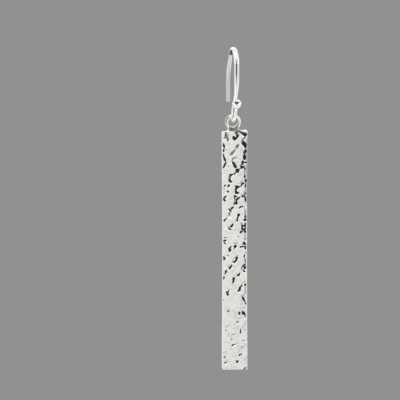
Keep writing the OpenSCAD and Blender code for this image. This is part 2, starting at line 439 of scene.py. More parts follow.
@dataclass
class SilverWorkshop:
    """Builds the shared node groups once, and each silver material from its finish.

    The edge noise makes the edge of the tarnish and painted shade uneven. Both scales are
    what the groups have at first, and a finish gives its own for the wear.
    """

    edge_noise_scale: float = 4000.0
    edge_noise_detail: float = 3.0
    unevenness: float = 0.10
    mask_span: Span = (0.05, 0.68)
    wear_scale: float = 6000.0
    scratch_turn: float = 25.0
    scratch_stretch: float = 0.16
    scratch_detail: float = 4.0
    haze_share: float = 0.12
    haze_detail: float = 3.0
    haze_span: Span = (0.3, 0.7)
    wear_strength: float = 0.5

    def __post_init__(self) -> None:
        """Builds the two node groups that all the silver shares."""
        self.tarnish = self._tarnish_and_shade_group()
        self.wear = self._wear_group()

    def _tarnish_and_shade_group(self) -> bpy.types.NodeTree:
        """Group that darkens silver for tarnish and painted shade, with a slightly uneven edge.

        The mask is the recess, shifted up or down a little by noise, and run through a
        ramp. The colour of the tarnish and painted shade is warmer about one height of the
        piece, and falls off smoothly from there over the reach.

        Returns:
            The node group, with the outputs Colour and Mask.
        """
        g = GroupBuilder.named("recess_tarnish")
        for name, default in (("Recess", 0.0), ("Scale", self.edge_noise_scale),
                              ("Unevenness", self.unevenness), ("Warm Height", 0.0),
                              ("Warm Reach", 1.0)):
            g.socket(name, Way.IN, Kind.VALUE, default)
        for name in ("Silver", "Tarnish", "Warm Tarnish"):
            g.socket(name, Way.IN, Kind.COLOUR)
        g.socket("Colour", Way.OUT, Kind.COLOUR)
        g.socket("Mask", Way.OUT, Kind.VALUE)
        place = g.node("ShaderNodeTexCoord")
        noise = g.node("ShaderNodeTexNoise", {"Detail": self.edge_noise_detail})
        centred = g.node("ShaderNodeMath", {1: 0.5}, operation="SUBTRACT")
        shift = g.node("ShaderNodeMath", operation="MULTIPLY_ADD")
        low, high = self.mask_span
        mask = g.node("ShaderNodeMapRange", {"From Min": low, "From Max": high},
                      interpolation_type="LINEAR")
        split = g.node("ShaderNodeSeparateXYZ")
        off = g.node("ShaderNodeMath", operation="SUBTRACT")
        away = g.node("ShaderNodeMath", operation="ABSOLUTE")
        warmth = g.node("ShaderNodeMapRange", {"From Min": 0.0, "To Min": 1.0, "To Max": 0.0},
                        interpolation_type="SMOOTHSTEP")
        dark = g.node("ShaderNodeMix", data_type="RGBA")
        blend = g.node("ShaderNodeMix", data_type="RGBA")
        g.join(
            (place, "Object", split, "Vector"), (split, "Z", off, 0), (g.entry, "Warm Height", off, 1),
            (off, 0, away, 0), (away, 0, warmth, "Value"), (g.entry, "Warm Reach", warmth, "From Max"),
            (warmth, "Result", dark, "Factor"), (g.entry, "Tarnish", dark, "A"),
            (g.entry, "Warm Tarnish", dark, "B"), (place, "Object", noise, "Vector"),
            (g.entry, "Scale", noise, "Scale"), (noise, "Fac", centred, 0), (centred, 0, shift, 0),
            (g.entry, "Unevenness", shift, 1), (g.entry, "Recess", shift, 2), (shift, 0, mask, "Value"),
            (mask, "Result", blend, "Factor"), (g.entry, "Silver", blend, "A"), (dark, "Result", blend, "B"),
            (blend, "Result", g.exit, "Colour"), (mask, "Result", g.exit, "Mask"))
        return g.tree

    def _wear_group(self) -> bpy.types.NodeTree:
        """Group of fine handling wear: faint scratches and a cloudy haze of the polish.

        The height is noise stretched along the piece, and the haze is broad noise.

        Returns:
            The node group, with the outputs Height and Haze.
        """
        g = GroupBuilder.named("fine_wear")
        g.socket("Scale", Way.IN, Kind.VALUE, self.wear_scale)
        g.socket("Height", Way.OUT, Kind.VALUE)
        g.socket("Haze", Way.OUT, Kind.VALUE)
        place = g.node("ShaderNodeTexCoord")
        turn = g.node("ShaderNodeMapping", {
            "Rotation": (0.0, math.radians(self.scratch_turn), 0.0),
            "Scale": (1.0, 1.0, self.scratch_stretch)})
        scratches = g.node("ShaderNodeTexNoise", {"Detail": self.scratch_detail})
        broad = g.node("ShaderNodeMath", {1: self.haze_share}, operation="MULTIPLY")
        haze = g.node("ShaderNodeTexNoise", {"Detail": self.haze_detail})
        g.join(
            (place, "Object", turn, "Vector"), (turn, "Vector", scratches, "Vector"),
            (g.entry, "Scale", scratches, "Scale"), (g.entry, "Scale", broad, 0),
            (place, "Object", haze, "Vector"), (broad, 0, haze, "Scale"),
            (scratches, "Fac", g.exit, "Height"), (haze, "Fac", g.exit, "Haze"))
        return g.tree

    def silver(self, finish: SilverFinish) -> bpy.types.Material:
        """Builds one silver material.

        Args:
            finish: its colours and its gloss.

        Returns:
            The material, which reads the tarnish and shade attribute of its mesh.
        """
        material = bpy.data.materials.new(finish.slot.value + "_finish")
        material.use_nodes = True
        m = NodeBuilder(material.node_tree)
        shader = m.tree.nodes["Principled BSDF"]
        shader.inputs["Metallic"].default_value = 1.0
        recess = m.node("ShaderNodeAttribute", attribute_name=TARNISH_AND_SHADE_ATTRIBUTE)
        tarnish = m.node("ShaderNodeGroup", node_tree=self.tarnish, inputs={
            "Silver": (*finish.silver, 1.0),
            "Tarnish": (*finish.tarnish, 1.0),
            "Warm Tarnish": (*finish.warm_tarnish, 1.0),
            "Warm Height": finish.warm_height * METRES_PER_MM,
            "Warm Reach": finish.warm_reach * METRES_PER_MM})
        wear = m.node("ShaderNodeGroup", {"Scale": finish.wear_scale}, node_tree=self.wear)
        low, high = self.haze_span
        polish = m.node("ShaderNodeMapRange", {
            "From Min": low, "From Max": high,
            "To Min": finish.roughness, "To Max": finish.roughness + finish.haze})
        gloss = m.node("ShaderNodeMix", {"B": finish.dull_roughness}, data_type="FLOAT")
        relief = m.node("ShaderNodeBump", {
            "Strength": self.wear_strength, "Distance": finish.wear_height * METRES_PER_MM})
        m.join(
            (recess, "Fac", tarnish, "Recess"), (tarnish, "Colour", shader, "Base Color"),
            (wear, "Haze", polish, "Value"), (polish, "Result", gloss, "A"),
            (tarnish, "Mask", gloss, "Factor"), (gloss, "Result", shader, "Roughness"),
            (wear, "Height", relief, "Height"), (relief, "Normal", shader, "Normal"))
        return material


# Each finish's tarnish colours paint real tarnish and also the painted shade and reflections that its mesh
# marks
HOOK_FINISH = SilverFinish(
    slot=Slot.HOOK_SILVER, silver=(0.925, 0.92, 0.905), tarnish=(0.10, 0.085, 0.07),
    warm_tarnish=(0.135, 0.07, 0.055), warm_height=-10.2, warm_reach=0.7,
    roughness=0.08, dull_roughness=0.35, wear_scale=5000.0, wear_height=0.002, haze=0.05)
BAR_FINISH = SilverFinish(
    slot=Slot.BAR_SILVER, silver=(0.912, 0.914, 0.875), tarnish=(0.030, 0.029, 0.024),
    warm_tarnish=(0.18, 0.14, 0.10), warm_height=-15.9, warm_reach=1.05,
    roughness=0.14, dull_roughness=0.40, wear_scale=4000.0, wear_height=0.003, haze=0.08)


# Bar, neck and ring


class Stray(IntEnum):
    """What differs from one broad dent to the next, each by a scattered number of its own."""

    ACROSS = 1
    DOWN = 2
    TURN = 3
    REACH = 4
    DEPTH = 5


@dataclass(frozen=True)
class BroadDents:
    """Shallow bowls on a slanted lattice, strayed and turned a little.

    The depth and the pitch are in millimetres, the turns in degrees. Rows, strays and
    reaches are in pitches, and the ground and the least dent are shares of the depth.
    """

    depth: float = 0.11
    pitch: float = 1.15
    row_pitch: float = 0.62
    slant: float = 0.3
    ground: float = 0.45
    stray_across: float = 0.5
    stray_down: float = 0.35
    turn: float = 30.0
    turn_spread: float = 40.0
    stretch: float = 1.3
    reach: float = 0.62
    reach_spread: float = 0.3
    least: float = 0.55
    spread: float = 0.45
    rows_near: tuple[int, int] = (-2, 4)
    columns_near: tuple[int, int] = (-1, 3)

    def at(self, x: Array, d: Array) -> Array:
        """Depth of the dents.

        At each place the deepest bowl counts, so that crisp ridges stand between them, and
        a level ground does where no bowl reaches.

        Args:
            x: place across from the bar's middle.
            d: place down from its top edge.

        Returns:
            The depth of the deepest bowl there, at least that of the ground.
        """
        row = np.floor((d + self.slant * x) / (self.row_pitch * self.pitch))
        col = np.floor(x / self.pitch)
        deepest = np.full_like(x, self.ground * self.depth)
        for down in range(*self.rows_near):
            for across in range(*self.columns_near):
                i, j = col + across, row + down
                lot = {stray: scatter(i, j, stray) for stray in Stray}
                off_x = self.stray_across * (lot[Stray.ACROSS] - 0.5)
                off_d = self.stray_down * (lot[Stray.DOWN] - 0.5)
                cx = (i + np.fmod(j, 2) / 2 + off_x) * self.pitch
                cd = (self.row_pitch * j + off_d) * self.pitch - self.slant * cx
                turn = np.radians(self.turn + self.turn_spread * (lot[Stray.TURN] - 0.5))
                along = ((d - cd) * np.cos(turn) - (x - cx) * np.sin(turn)) / self.stretch
                side = (x - cx) * np.cos(turn) + (d - cd) * np.sin(turn)
                reach = self.pitch * (self.reach + self.reach_spread * lot[Stray.REACH])
                deep = self.depth * (self.least + self.spread * lot[Stray.DEPTH])
                bowl = deep * (1 - (along * along + side * side) / (reach * reach))
                deepest = np.maximum(deepest, bowl)
        return deepest


@dataclass(frozen=True)
class StrikeChart:
    """The sharp marks of the face: oval pits, each a bell curve of its scaled distance. Their
    darkness is partly tarnish in the pits and partly painted shade of their steep walls.

    The unit is a share of the bar's width, the spread says how far a bell reaches past its
    charted oval, and the edge is the stretch of the bell over which its darkness fades. A
    mark is worked out up to the margin, in units, past its length. The shifts move the
    places at which the marks are read, so that their outlines are uneven.
    """

    depth: float = 0.17
    unit: float = 1.0 / 25.0
    spread: float = 1.25
    margin: float = 2.0
    edge: Span = (0.20, 0.54)
    shift_across: Noise = Noise(0.06, 0.26, 11)
    shift_down: Noise = Noise(0.06, 0.26, 12)
    # How the picture draws the bar, in units of the chart
    drawn_down: float = 1.025
    draw_in: float = 1.0 / 6130.0
    row_slope: float = 0.071
    slope_loss: float = 0.00024
    sink: float = 0.4

    # Every dark mark of the face, charted from the photograph. Side and down are
    # the mark's place from the middle of the bar's top edge as the picture draws it, and
    # length and width its size, all in twenty-fifths of the bar's width. Turn is from
    # upright towards the right, in degrees. Deep is a share of the full depth and darkness.
    chart: ClassVar[tuple[tuple[float, ...], ...]] = (
        (-8.7, 0.2, 2.5, 1.4, 90, 0.9), (-9.5, 2.2, 3.8, 1.3, 5, 0.8), (-7.8, 4.0, 4.5, 2.0, -5, 0.5),
        (-9.8, 5.4, 3.0, 1.6, 90, 0.6), (-7.4, 7.2, 3.8, 1.9, -5, 0.58), (-11.3, 13.5, 5.0, 1.6, -12, 0.85),
        (-10.7, 15.4, 1.6, 1.2, 0, 0.8), (-11.6, 18.1, 2.4, 1.7, 0, 0.9), (-9.6, 17.5, 3.0, 1.0, 90, 0.35),
        (-10.7, 25.8, 8.0, 1.6, -18, 0.9), (-10.4, 27.0, 3.5, 1.9, -20, 1.0),
        (-10.4, 32.5, 5.0, 1.8, 33, 0.85), (-11.2, 34.3, 3.0, 1.7, 25, 1.0), (1.0, -0.3, 3.0, 3.0, 0, 0.9),
        (-1.3, 5.6, 3.4, 2.7, -15, 0.95), (1.9, 4.9, 6.0, 1.8, 35, 0.9), (1.5, 2.0, 4.0, 1.5, 0, 0.7),
        (-0.3, 7.2, 2.5, 1.6, 70, 0.9), (3.6, -1.2, 4.5, 1.6, -55, 0.9), (-6.6, -0.8, 2.6, 1.0, 100, 0.5),
        (6.0, -0.6, 4.0, 0.9, -70, 0.6), (10.2, 0.4, 4.0, 0.9, -80, 0.55), (8.3, 1.2, 6.5, 1.8, -68, 1.0),
        (10.0, 2.0, 3.5, 2.4, -20, 1.0), (9.2, 2.0, 3.2, 2.8, -55, 1.0), (9.7, 5.3, 2.8, 1.3, 45, 0.85),
        (7.3, 8.0, 3.5, 1.8, 15, 0.55), (9.1, 11.8, 5.5, 3.2, -35, 1.0), (10.0, 14.0, 4.0, 1.7, -15, 1.0),
        (10.3, 18.8, 3.2, 2.2, 0, 1.0), (9.3, 20.5, 3.5, 2.6, 0, 0.6), (9.3, 24.9, 5.2, 2.6, 0, 0.95),
        (9.6, 30.2, 3.2, 1.6, 85, 1.0), (7.4, 29.8, 3.0, 2.0, 20, 0.75), (7.3, 35.0, 3.6, 2.2, 70, 1.0),
        (5.9, 33.3, 3.0, 1.8, 20, 0.6), (7.1, 31.5, 2.5, 1.5, -10, 0.7), (9.8, 36.6, 2.4, 1.8, 0, 0.75),
        (9.6, 40.0, 5.0, 1.3, 3, 0.5), (9.6, 44.0, 3.5, 1.6, 0, 0.75), (10.3, 48.3, 3.0, 1.5, -5, 1.0),
        (10.2, 53.6, 5.0, 1.1, 0, 0.7), (10.3, 58.0, 2.0, 1.0, 0, 0.45), (10.2, 61.0, 2.5, 1.5, 0, 0.6),
        (2.0, 14.2, 4.8, 2.6, 33, 0.48), (2.5, 13.4, 2.4, 1.9, 20, 0.65), (-2.6, 20.4, 6.6, 2.3, 42, 0.55),
        (-2.4, 26.7, 2.8, 1.4, 35, 0.6), (0.3, 25.7, 4.2, 1.3, 95, 0.48), (-0.9, 31.9, 6.5, 1.9, -33, 1.0),
        (0.1, 34.3, 3.2, 2.8, -22, 1.0), (2.2, 38.2, 3.4, 3.1, 90, 1.0), (4.2, 37.0, 2.5, 1.4, 70, 0.7),
        (1.0, 39.8, 2.0, 1.3, 30, 0.8), (3.1, 39.3, 2.0, 1.8, 0, 0.95), (-0.5, 41.6, 2.4, 2.0, 60, 0.6),
        (-3.9, 42.6, 3.2, 1.9, 80, 1.0), (-5.0, 44.0, 3.0, 1.9, 15, 0.9), (-5.4, 46.0, 3.5, 2.0, 12, 0.62),
        (-5.5, 48.3, 2.5, 2.1, 0, 0.95), (-4.4, 49.4, 3.0, 1.9, -65, 1.0), (-10.2, 53.4, 2.2, 1.5, 50, 0.9),
        (-11.2, 56.5, 4.0, 0.9, -10, 0.35), (-6.4, 53.6, 2.4, 1.9, 60, 1.0), (-7.2, 55.0, 1.4, 1.0, 30, 0.5),
        (-7.3, 59.4, 2.0, 1.9, 0, 0.75), (7.6, 51.4, 2.6, 1.6, 60, 0.95), (6.2, 53.3, 2.0, 1.3, 20, 0.95),
        (6.2, 49.8, 3.0, 1.8, 40, 0.4), (4.4, 51.4, 1.5, 1.0, 90, 0.3), (2.3, 54.6, 4.8, 1.9, -80, 1.0),
        (1.5, 56.4, 3.0, 1.5, 80, 0.9), (0.6, 58.0, 4.0, 1.7, 0, 0.95), (1.0, 60.0, 3.5, 2.2, -20, 1.0),
        (2.1, 60.9, 3.6, 1.7, 80, 1.0), (9.1, 59.5, 2.0, 1.3, 30, 0.4), (7.5, 64.0, 3.0, 2.0, 40, 0.65),
        (9.5, 62.0, 4.0, 1.6, 25, 0.55), (10.1, 66.7, 6.0, 1.2, -5, 0.8), (8.3, 64.6, 3.0, 1.4, -65, 0.6),
        (-10.3, 65.0, 3.5, 1.7, 45, 0.9), (-10.7, 67.6, 3.4, 1.5, -45, 0.8), (-10.0, 68.6, 1.6, 1.4, 0, 0.9),
        (-0.5, 64.6, 3.5, 1.7, -5, 0.85), (0.8, 64.0, 2.5, 1.2, -70, 0.7), (2.5, 66.5, 4.4, 2.0, 58, 1.0),
        (1.2, 68.8, 2.6, 1.3, 0, 0.8), (1.3, 70.7, 3.0, 2.2, -10, 1.0), (-0.8, 69.0, 6.0, 1.2, 3, 0.5),
        (-0.8, 71.6, 2.4, 1.4, 10, 0.65), (-3.0, 75.9, 3.4, 1.6, 42, 1.0), (-5.6, 77.6, 3.0, 1.8, -50, 0.65),
        (-4.5, 79.4, 2.0, 1.3, 80, 0.75), (-5.9, 82.2, 3.6, 1.2, 3, 0.75), (4.9, 75.3, 2.6, 1.4, 50, 0.85),
        (6.8, 74.4, 3.2, 1.2, 85, 0.75), (9.6, 76.5, 4.0, 1.0, -15, 0.4), (10.1, 80.0, 6.0, 1.0, 0, 0.55),
        (10.2, 84.3, 3.0, 1.3, 0, 0.85), (9.7, 87.6, 2.6, 2.2, 60, 1.0), (3.5, 83.0, 3.0, 2.2, 10, 1.0),
        (2.4, 85.8, 4.5, 1.6, 18, 0.75), (2.0, 88.2, 2.0, 1.6, 60, 0.95), (0.2, 89.6, 2.5, 1.0, 10, 0.35),
        (-9.2, 86.8, 3.0, 1.4, 55, 0.65), (-10.7, 88.2, 2.2, 1.9, 20, 1.0), (-3.3, 93.4, 3.8, 1.9, 33, 1.0),
        (-6.6, 95.8, 2.6, 1.5, 10, 0.6), (-5.4, 97.0, 3.0, 1.5, -60, 0.8), (6.4, 91.3, 2.0, 1.2, -60, 0.5),
        (7.8, 93.4, 3.5, 1.7, -70, 0.75), (9.4, 93.3, 2.6, 1.7, 60, 0.95), (10.3, 91.5, 2.4, 1.3, -10, 0.8),
        (10.1, 96.0, 5.0, 1.1, 0, 0.7), (6.8, 95.3, 3.0, 1.4, 10, 0.7), (7.3, 96.8, 2.4, 1.6, 60, 0.95),
        (8.8, 97.7, 3.5, 1.6, -45, 0.8), (9.8, 99.3, 3.0, 1.6, -15, 0.95), (6.5, 99.4, 2.4, 1.7, 75, 0.95),
        (5.2, 100.5, 1.6, 1.3, 30, 0.8), (10.1, 105.3, 5.0, 1.0, 0, 0.45), (9.7, 107.3, 2.0, 1.3, 40, 0.5),
        (-9.8, 105.5, 3.2, 1.2, 90, 0.55), (-3.4, 101.5, 1.8, 1.4, 90, 0.25),
        (3.5, 104.2, 1.8, 1.5, 90, 0.36), (-10.7, 108.4, 3.6, 1.8, 88, 1.0),
        (-10.4, 110.8, 3.0, 1.3, -38, 0.65), (0.4, 111.3, 5.0, 1.1, 90, 0.4),
        (0.0, 114.1, 2.6, 2.6, 20, 1.0), (-0.8, 116.0, 2.0, 1.1, 10, 0.8), (-5.0, 115.4, 3.4, 1.5, 45, 0.85),
        (-6.0, 116.7, 2.2, 1.9, 0, 1.0), (-5.1, 118.3, 3.2, 1.9, 35, 1.0), (9.4, 111.0, 3.2, 1.8, -20, 0.9),
        (8.0, 111.5, 2.2, 1.3, 70, 0.7), (10.1, 112.3, 1.8, 1.2, 0, 0.7), (7.4, 114.3, 4.6, 1.4, 88, 0.76),
        (5.2, 115.0, 2.2, 1.2, 5, 0.7), (10.1, 115.4, 3.2, 1.4, -5, 0.95), (10.2, 120.4, 4.0, 1.0, 0, 0.4),
        (9.3, 123.8, 2.6, 1.5, 5, 0.8), (10.0, 128.0, 5.5, 1.1, -5, 0.6), (-6.9, 123.6, 1.8, 1.5, 20, 0.6),
        (-10.2, 123.2, 2.5, 1.2, 60, 0.2), (-11.0, 126.3, 2.6, 2.4, -35, 1.0),
        (-11.5, 125.0, 2.0, 1.3, 0, 0.8), (1.7, 126.2, 2.6, 2.4, 40, 1.0), (1.3, 124.2, 2.6, 1.3, 50, 0.55),
        (0.7, 128.5, 3.4, 1.8, 35, 0.75), (-0.4, 130.2, 2.4, 1.5, 70, 0.78),
        (-1.8, 129.2, 2.4, 1.6, 80, 0.55), (-0.7, 125.5, 1.3, 1.1, 0, 0.4), (-1.8, 127.2, 1.5, 1.0, 0, 0.35),
        (-3.8, 133.4, 2.0, 1.3, 30, 0.75), (-4.9, 135.4, 3.4, 1.9, 42, 1.0),
        (-5.8, 136.7, 1.8, 1.4, 20, 0.95), (-6.7, 134.2, 2.6, 0.9, 5, 0.35), (8.8, 132.8, 3.6, 1.5, 55, 0.8),
        (7.7, 133.8, 2.4, 1.6, 50, 0.7), (9.4, 135.4, 2.6, 2.0, 15, 1.0), (6.3, 136.2, 3.0, 1.1, 10, 0.55),
        (10.2, 135.0, 4.0, 1.0, 0, 0.6), (8.8, 138.8, 3.2, 1.5, -50, 0.9), (-9.0, 139.2, 3.0, 1.6, 15, 0.7),
        (-7.9, 140.2, 1.4, 1.2, 80, 0.5), (-9.7, 141.2, 1.8, 1.5, 30, 0.95),
        (-11.6, 145.6, 3.0, 1.7, 12, 1.0), (-10.7, 145.0, 1.4, 1.0, 0, 0.6), (4.4, 141.6, 2.0, 1.6, 25, 1.0),
        (3.2, 143.1, 2.7, 1.8, 62, 1.0), (1.5, 141.6, 2.4, 0.9, -20, 0.35), (-1.4, 146.8, 3.0, 2.2, 0, 1.0),
        (-1.6, 148.0, 2.0, 1.3, 0, 0.8), (-1.8, 149.3, 2.8, 1.8, 10, 1.0), (-2.6, 151.2, 2.2, 1.0, 15, 0.6),
        (8.3, 150.4, 4.0, 1.3, 60, 0.3), (6.3, 153.8, 2.4, 1.5, 30, 0.8), (5.0, 155.5, 2.4, 1.9, 30, 1.0),
        (5.0, 157.4, 2.0, 1.5, 0, 0.85), (4.4, 157.0, 2.0, 1.5, 45, 0.85), (3.8, 158.4, 2.6, 1.9, 45, 1.0),
        (10.0, 152.6, 2.4, 1.5, 0, 0.8), (10.3, 158.5, 7.0, 1.0, 0, 0.45), (9.1, 162.0, 2.2, 1.2, 60, 0.45),
        (7.5, 163.3, 3.0, 1.2, 65, 0.5), (6.3, 164.5, 1.5, 1.0, 30, 0.35), (-6.8, 159.2, 2.8, 1.4, 25, 0.75),
        (-5.9, 157.8, 1.6, 1.0, 30, 0.4), (-8.0, 156.3, 2.2, 0.9, 70, 0.25),
        (-8.2, 160.8, 2.8, 1.7, -35, 0.8), (-7.2, 162.5, 2.2, 1.6, 80, 1.0),
        (8.5, 167.0, 5.4, 1.7, -24, 0.9), (-11.8, 168.0, 2.0, 1.3, 0, 0.42),
        (10.2, 171.2, 2.4, 1.2, 0, 0.75), (-6.9, 179.1, 2.2, 2.0, 10, 0.66),
        (4.0, 181.0, 2.9, 2.1, 15, 0.68), (4.1, 182.5, 1.6, 1.4, 0, 0.5), (8.5, 180.8, 3.9, 2.6, -40, 0.88),
        (7.5, 182.0, 1.8, 1.2, 10, 0.8), (9.9, 182.8, 3.0, 1.2, -15, 0.8), (9.5, 184.9, 2.2, 1.0, 15, 0.6),
        (8.7, 175.5, 3.0, 1.1, 80, 0.45), (6.2, 176.4, 3.0, 1.0, 65, 0.2), (4.6, 186.4, 3.0, 1.4, 90, 0.3),
        (2.2, 189.9, 2.4, 2.2, 80, 0.53), (-8.0, 194.0, 4.5, 2.0, 75, 0.22),
        (-9.4, 198.3, 2.0, 1.8, 0, 0.45), (5.4, 199.1, 4.2, 1.4, 5, 0.72), (-1.7, 202.5, 3.2, 1.4, 80, 0.4),
        (-3.6, 204.0, 2.0, 1.4, 30, 0.22), (2.6, 195.0, 5.0, 1.6, 5, 0.2), (8.0, 194.3, 4.0, 1.8, 60, 0.2),
        (1.2, 199.5, 3.0, 1.2, 0, 0.2), (10.1, 190.5, 3.0, 1.2, 0, 0.35), (10.0, 198.0, 2.0, 1.2, 0, 0.3),
        (-3.9, 207.5, 1.6, 1.4, 20, 0.58), (8.6, 208.5, 3.6, 1.1, 90, 0.5),
        (-1.4, 212.4, 3.6, 1.4, 76, 0.74), (-2.6, 213.3, 2.4, 1.8, 35, 0.72),
        (6.6, 215.1, 2.4, 1.5, -15, 0.5), (9.3, 213.5, 3.0, 1.0, -20, 0.25),
        (-3.8, 216.8, 2.0, 1.5, -20, 0.25), (-0.7, 220.3, 1.5, 1.0, 0, 0.2),
        (-10.6, 219.9, 3.5, 1.5, 75, 0.28), (5.2, 222.4, 3.0, 1.4, 72, 0.76),
        (4.1, 223.5, 1.6, 1.2, 20, 0.55), (-10.6, 225.2, 2.6, 1.3, -5, 0.65),
        (-9.5, 230.5, 2.8, 1.4, 75, 0.85), (-10.5, 231.5, 1.3, 1.0, 20, 0.4),
        (-7.2, 229.2, 3.0, 1.0, -75, 0.3), (2.1, 229.4, 2.1, 2.0, 90, 1.0), (2.1, 230.6, 1.3, 1.1, 0, 0.8),
        (2.1, 228.8, 2.7, 1.1, 90, 0.8), (9.5, 236.0, 3.4, 1.5, 45, 0.6), (2.8, 232.0, 1.5, 1.5, 0, 0.2),
        (-0.7, 231.5, 2.0, 1.0, 0, 0.2),
    )

    def at(self, x: Array, d: Array, bar_width: float) -> tuple[Array, Array]:
        """Reads the marks of the chart.

        Args:
            x: place across from the bar's middle.
            d: place down from its top edge.
            bar_width: the width of the bar, in millimetres.

        Returns:
            The depth share of the deepest mark there, and the darkness of the darkest.
        """
        x, d = x + self.shift_across.at(x, d), d + self.shift_down.at(x, d)
        depth, dark = np.zeros_like(x), np.zeros_like(x)
        unit = bar_width * self.unit
        for side, down, length, width, turn, deep in self.chart:
            # The picture draws the rows rising to the right, and all of it smaller low down
            level = down + self.sink + side * (self.row_slope - self.slope_loss * down)
            grow = unit * (1 + level * self.draw_in)
            mark_x, mark_d = side * grow, level * self.drawn_down * grow
            near = np.flatnonzero(np.abs(d[:, 0] - mark_d) < (length + self.margin) * unit)
            if not len(near):
                continue
            rows = slice(near[0], near[-1] + 1)
            dx, dd = x[rows] - mark_x, d[rows] - mark_d
            s, c = math.sin(math.radians(turn)), math.cos(math.radians(turn))
            along = (dx * s - dd * c) / (length * unit / 2) / self.spread
            across = (dx * c + dd * s) / (width * unit / 2) / self.spread
            bell = np.exp(-(along * along + across * across))
            depth[rows] = np.maximum(depth[rows], deep * bell)
            # The darkness is partly tarnish in the pit and partly painted shade of its steep walls
            dark[rows] = np.maximum(dark[rows], deep * rise(bell, *self.edge))
        return depth, dark


@dataclass(frozen=True)
class Grid:
    """Places of a face's points, row by row, in millimetres.

    They are the place across from the bar's middle, the place down from its top edge, half
    of its width there, and the distance in from the nearest edge.
    """

    x: Array
    d: Array
    half: Array
    inset: Array


@dataclass
class HammeredFace:
    """Relief of the bar's face: a border, broad dents, sharp marks and a fine unevenness.

    Depths and starts are in millimetres. What is named a share is one of the bar's length,
    and the wall and the rim lie at places given in widths of the border.
    """

    width: float
    length: float
    dents: BroadDents = BroadDents()
    strikes: StrikeChart = StrikeChart()
    fine: Film = Film(0.0, (Noise(0.010, 0.45, 21), Noise(0.006, 0.21, 22)))
    max_depth: float = 0.37
    border: float = 0.3
    border_fade: float = 0.4
    foot_softness: float = 0.3
    calm: float = 0.4
    calm_share: Span = (0.6, 0.8)
    wall_tone: float = 0.45
    wall_place: float = 1.5
    wall_width: float = 0.4
    wall_start_share: Span = (0.10, 0.16)
    wall_end_share: Span = (0.62, 0.72)
    wall_breaks: Noise = Noise(1.0, 1.3, 31)
    wall_break_span: Span = (-0.5, 0.3)
    rim_tone: float = 0.34
    rim_place: Span = (-1.3, -1.05)
    rim_start: Span = (0.9, 1.6)
    rim_end_share: Span = (0.27, 0.33)
    # Uneven painted shade over the face, standing for the soft shading of its relief
    face_shade: Film = Film(0.05, (Noise(0.10, 0.62, 51), Noise(0.09, 0.27, 52)))
    foot_shade: float = 0.03
    foot_shade_share: Span = (0.5, 1.0)

    def _down(self, d: Array, share: Span) -> Array:
        """Rises along the bar over a span that is given in shares of its length."""
        return rise(d, share[0] * self.length, share[1] * self.length)

    def relief(self, grid: Grid) -> tuple[Array, Array]:
        """Depth of the face, and how dark each place of it is.

        The border is plain, and wider and softer at the foot. Inside it the depth is that
        of the broad dents, softer low down, plus the sharp marks and a fine unevenness.

        Args:
            grid: the places of the face.

        Returns:
            The depth in millimetres and the darkness from 0 to 1, both at each place.
        """
        x, d, half = grid.x, grid.d, grid.half
        inset = np.minimum(
            np.minimum(half - np.abs(x), d), self.foot_softness * (self.length - d))
        inner = rise(inset, self.border * (1 - self.border_fade),
                     self.border * (1 + self.border_fade))
        dents = self.dents.at(x, d) * (1.0 - self.calm * self._down(d, self.calm_share))
        marks, dark = self.strikes.at(x, d, self.width)
        rough = dents + self.strikes.depth * marks + self.fine.at(x, d)
        depth = inner * np.minimum(self.max_depth, rough)
        # The wall of the border on the right carries painted shade too, in the bar's upper two thirds
        off = half - x - self.wall_place * self.border
        wall = np.exp(-(off / (self.wall_width * self.border)) ** 2)
        upper = self._down(d, self.wall_start_share) * (1 - self._down(d, self.wall_end_share))
        broken = rise(self.wall_breaks.at(0 * x, d), *self.wall_break_span)
        dark = np.maximum(dark, self.wall_tone * wall * upper * broken)
        # The border on the right carries grey painted shade as well, down to a third of the bar's length
        rim = rise(x, *(self.width / 2 + place * self.border for place in self.rim_place))
        high_up = rise(d, *self.rim_start) * (1 - self._down(d, self.rim_end_share))
        dark = np.maximum(dark, self.rim_tone * rim * high_up)
        # An uneven painted shade lies on the whole face, standing for the soft shading of its relief, a
        # little darker at its foot
        face_shade = self.face_shade.at(x, d) + self.foot_shade * self._down(d, self.foot_shade_share)
        return depth, np.maximum(dark, face_shade)


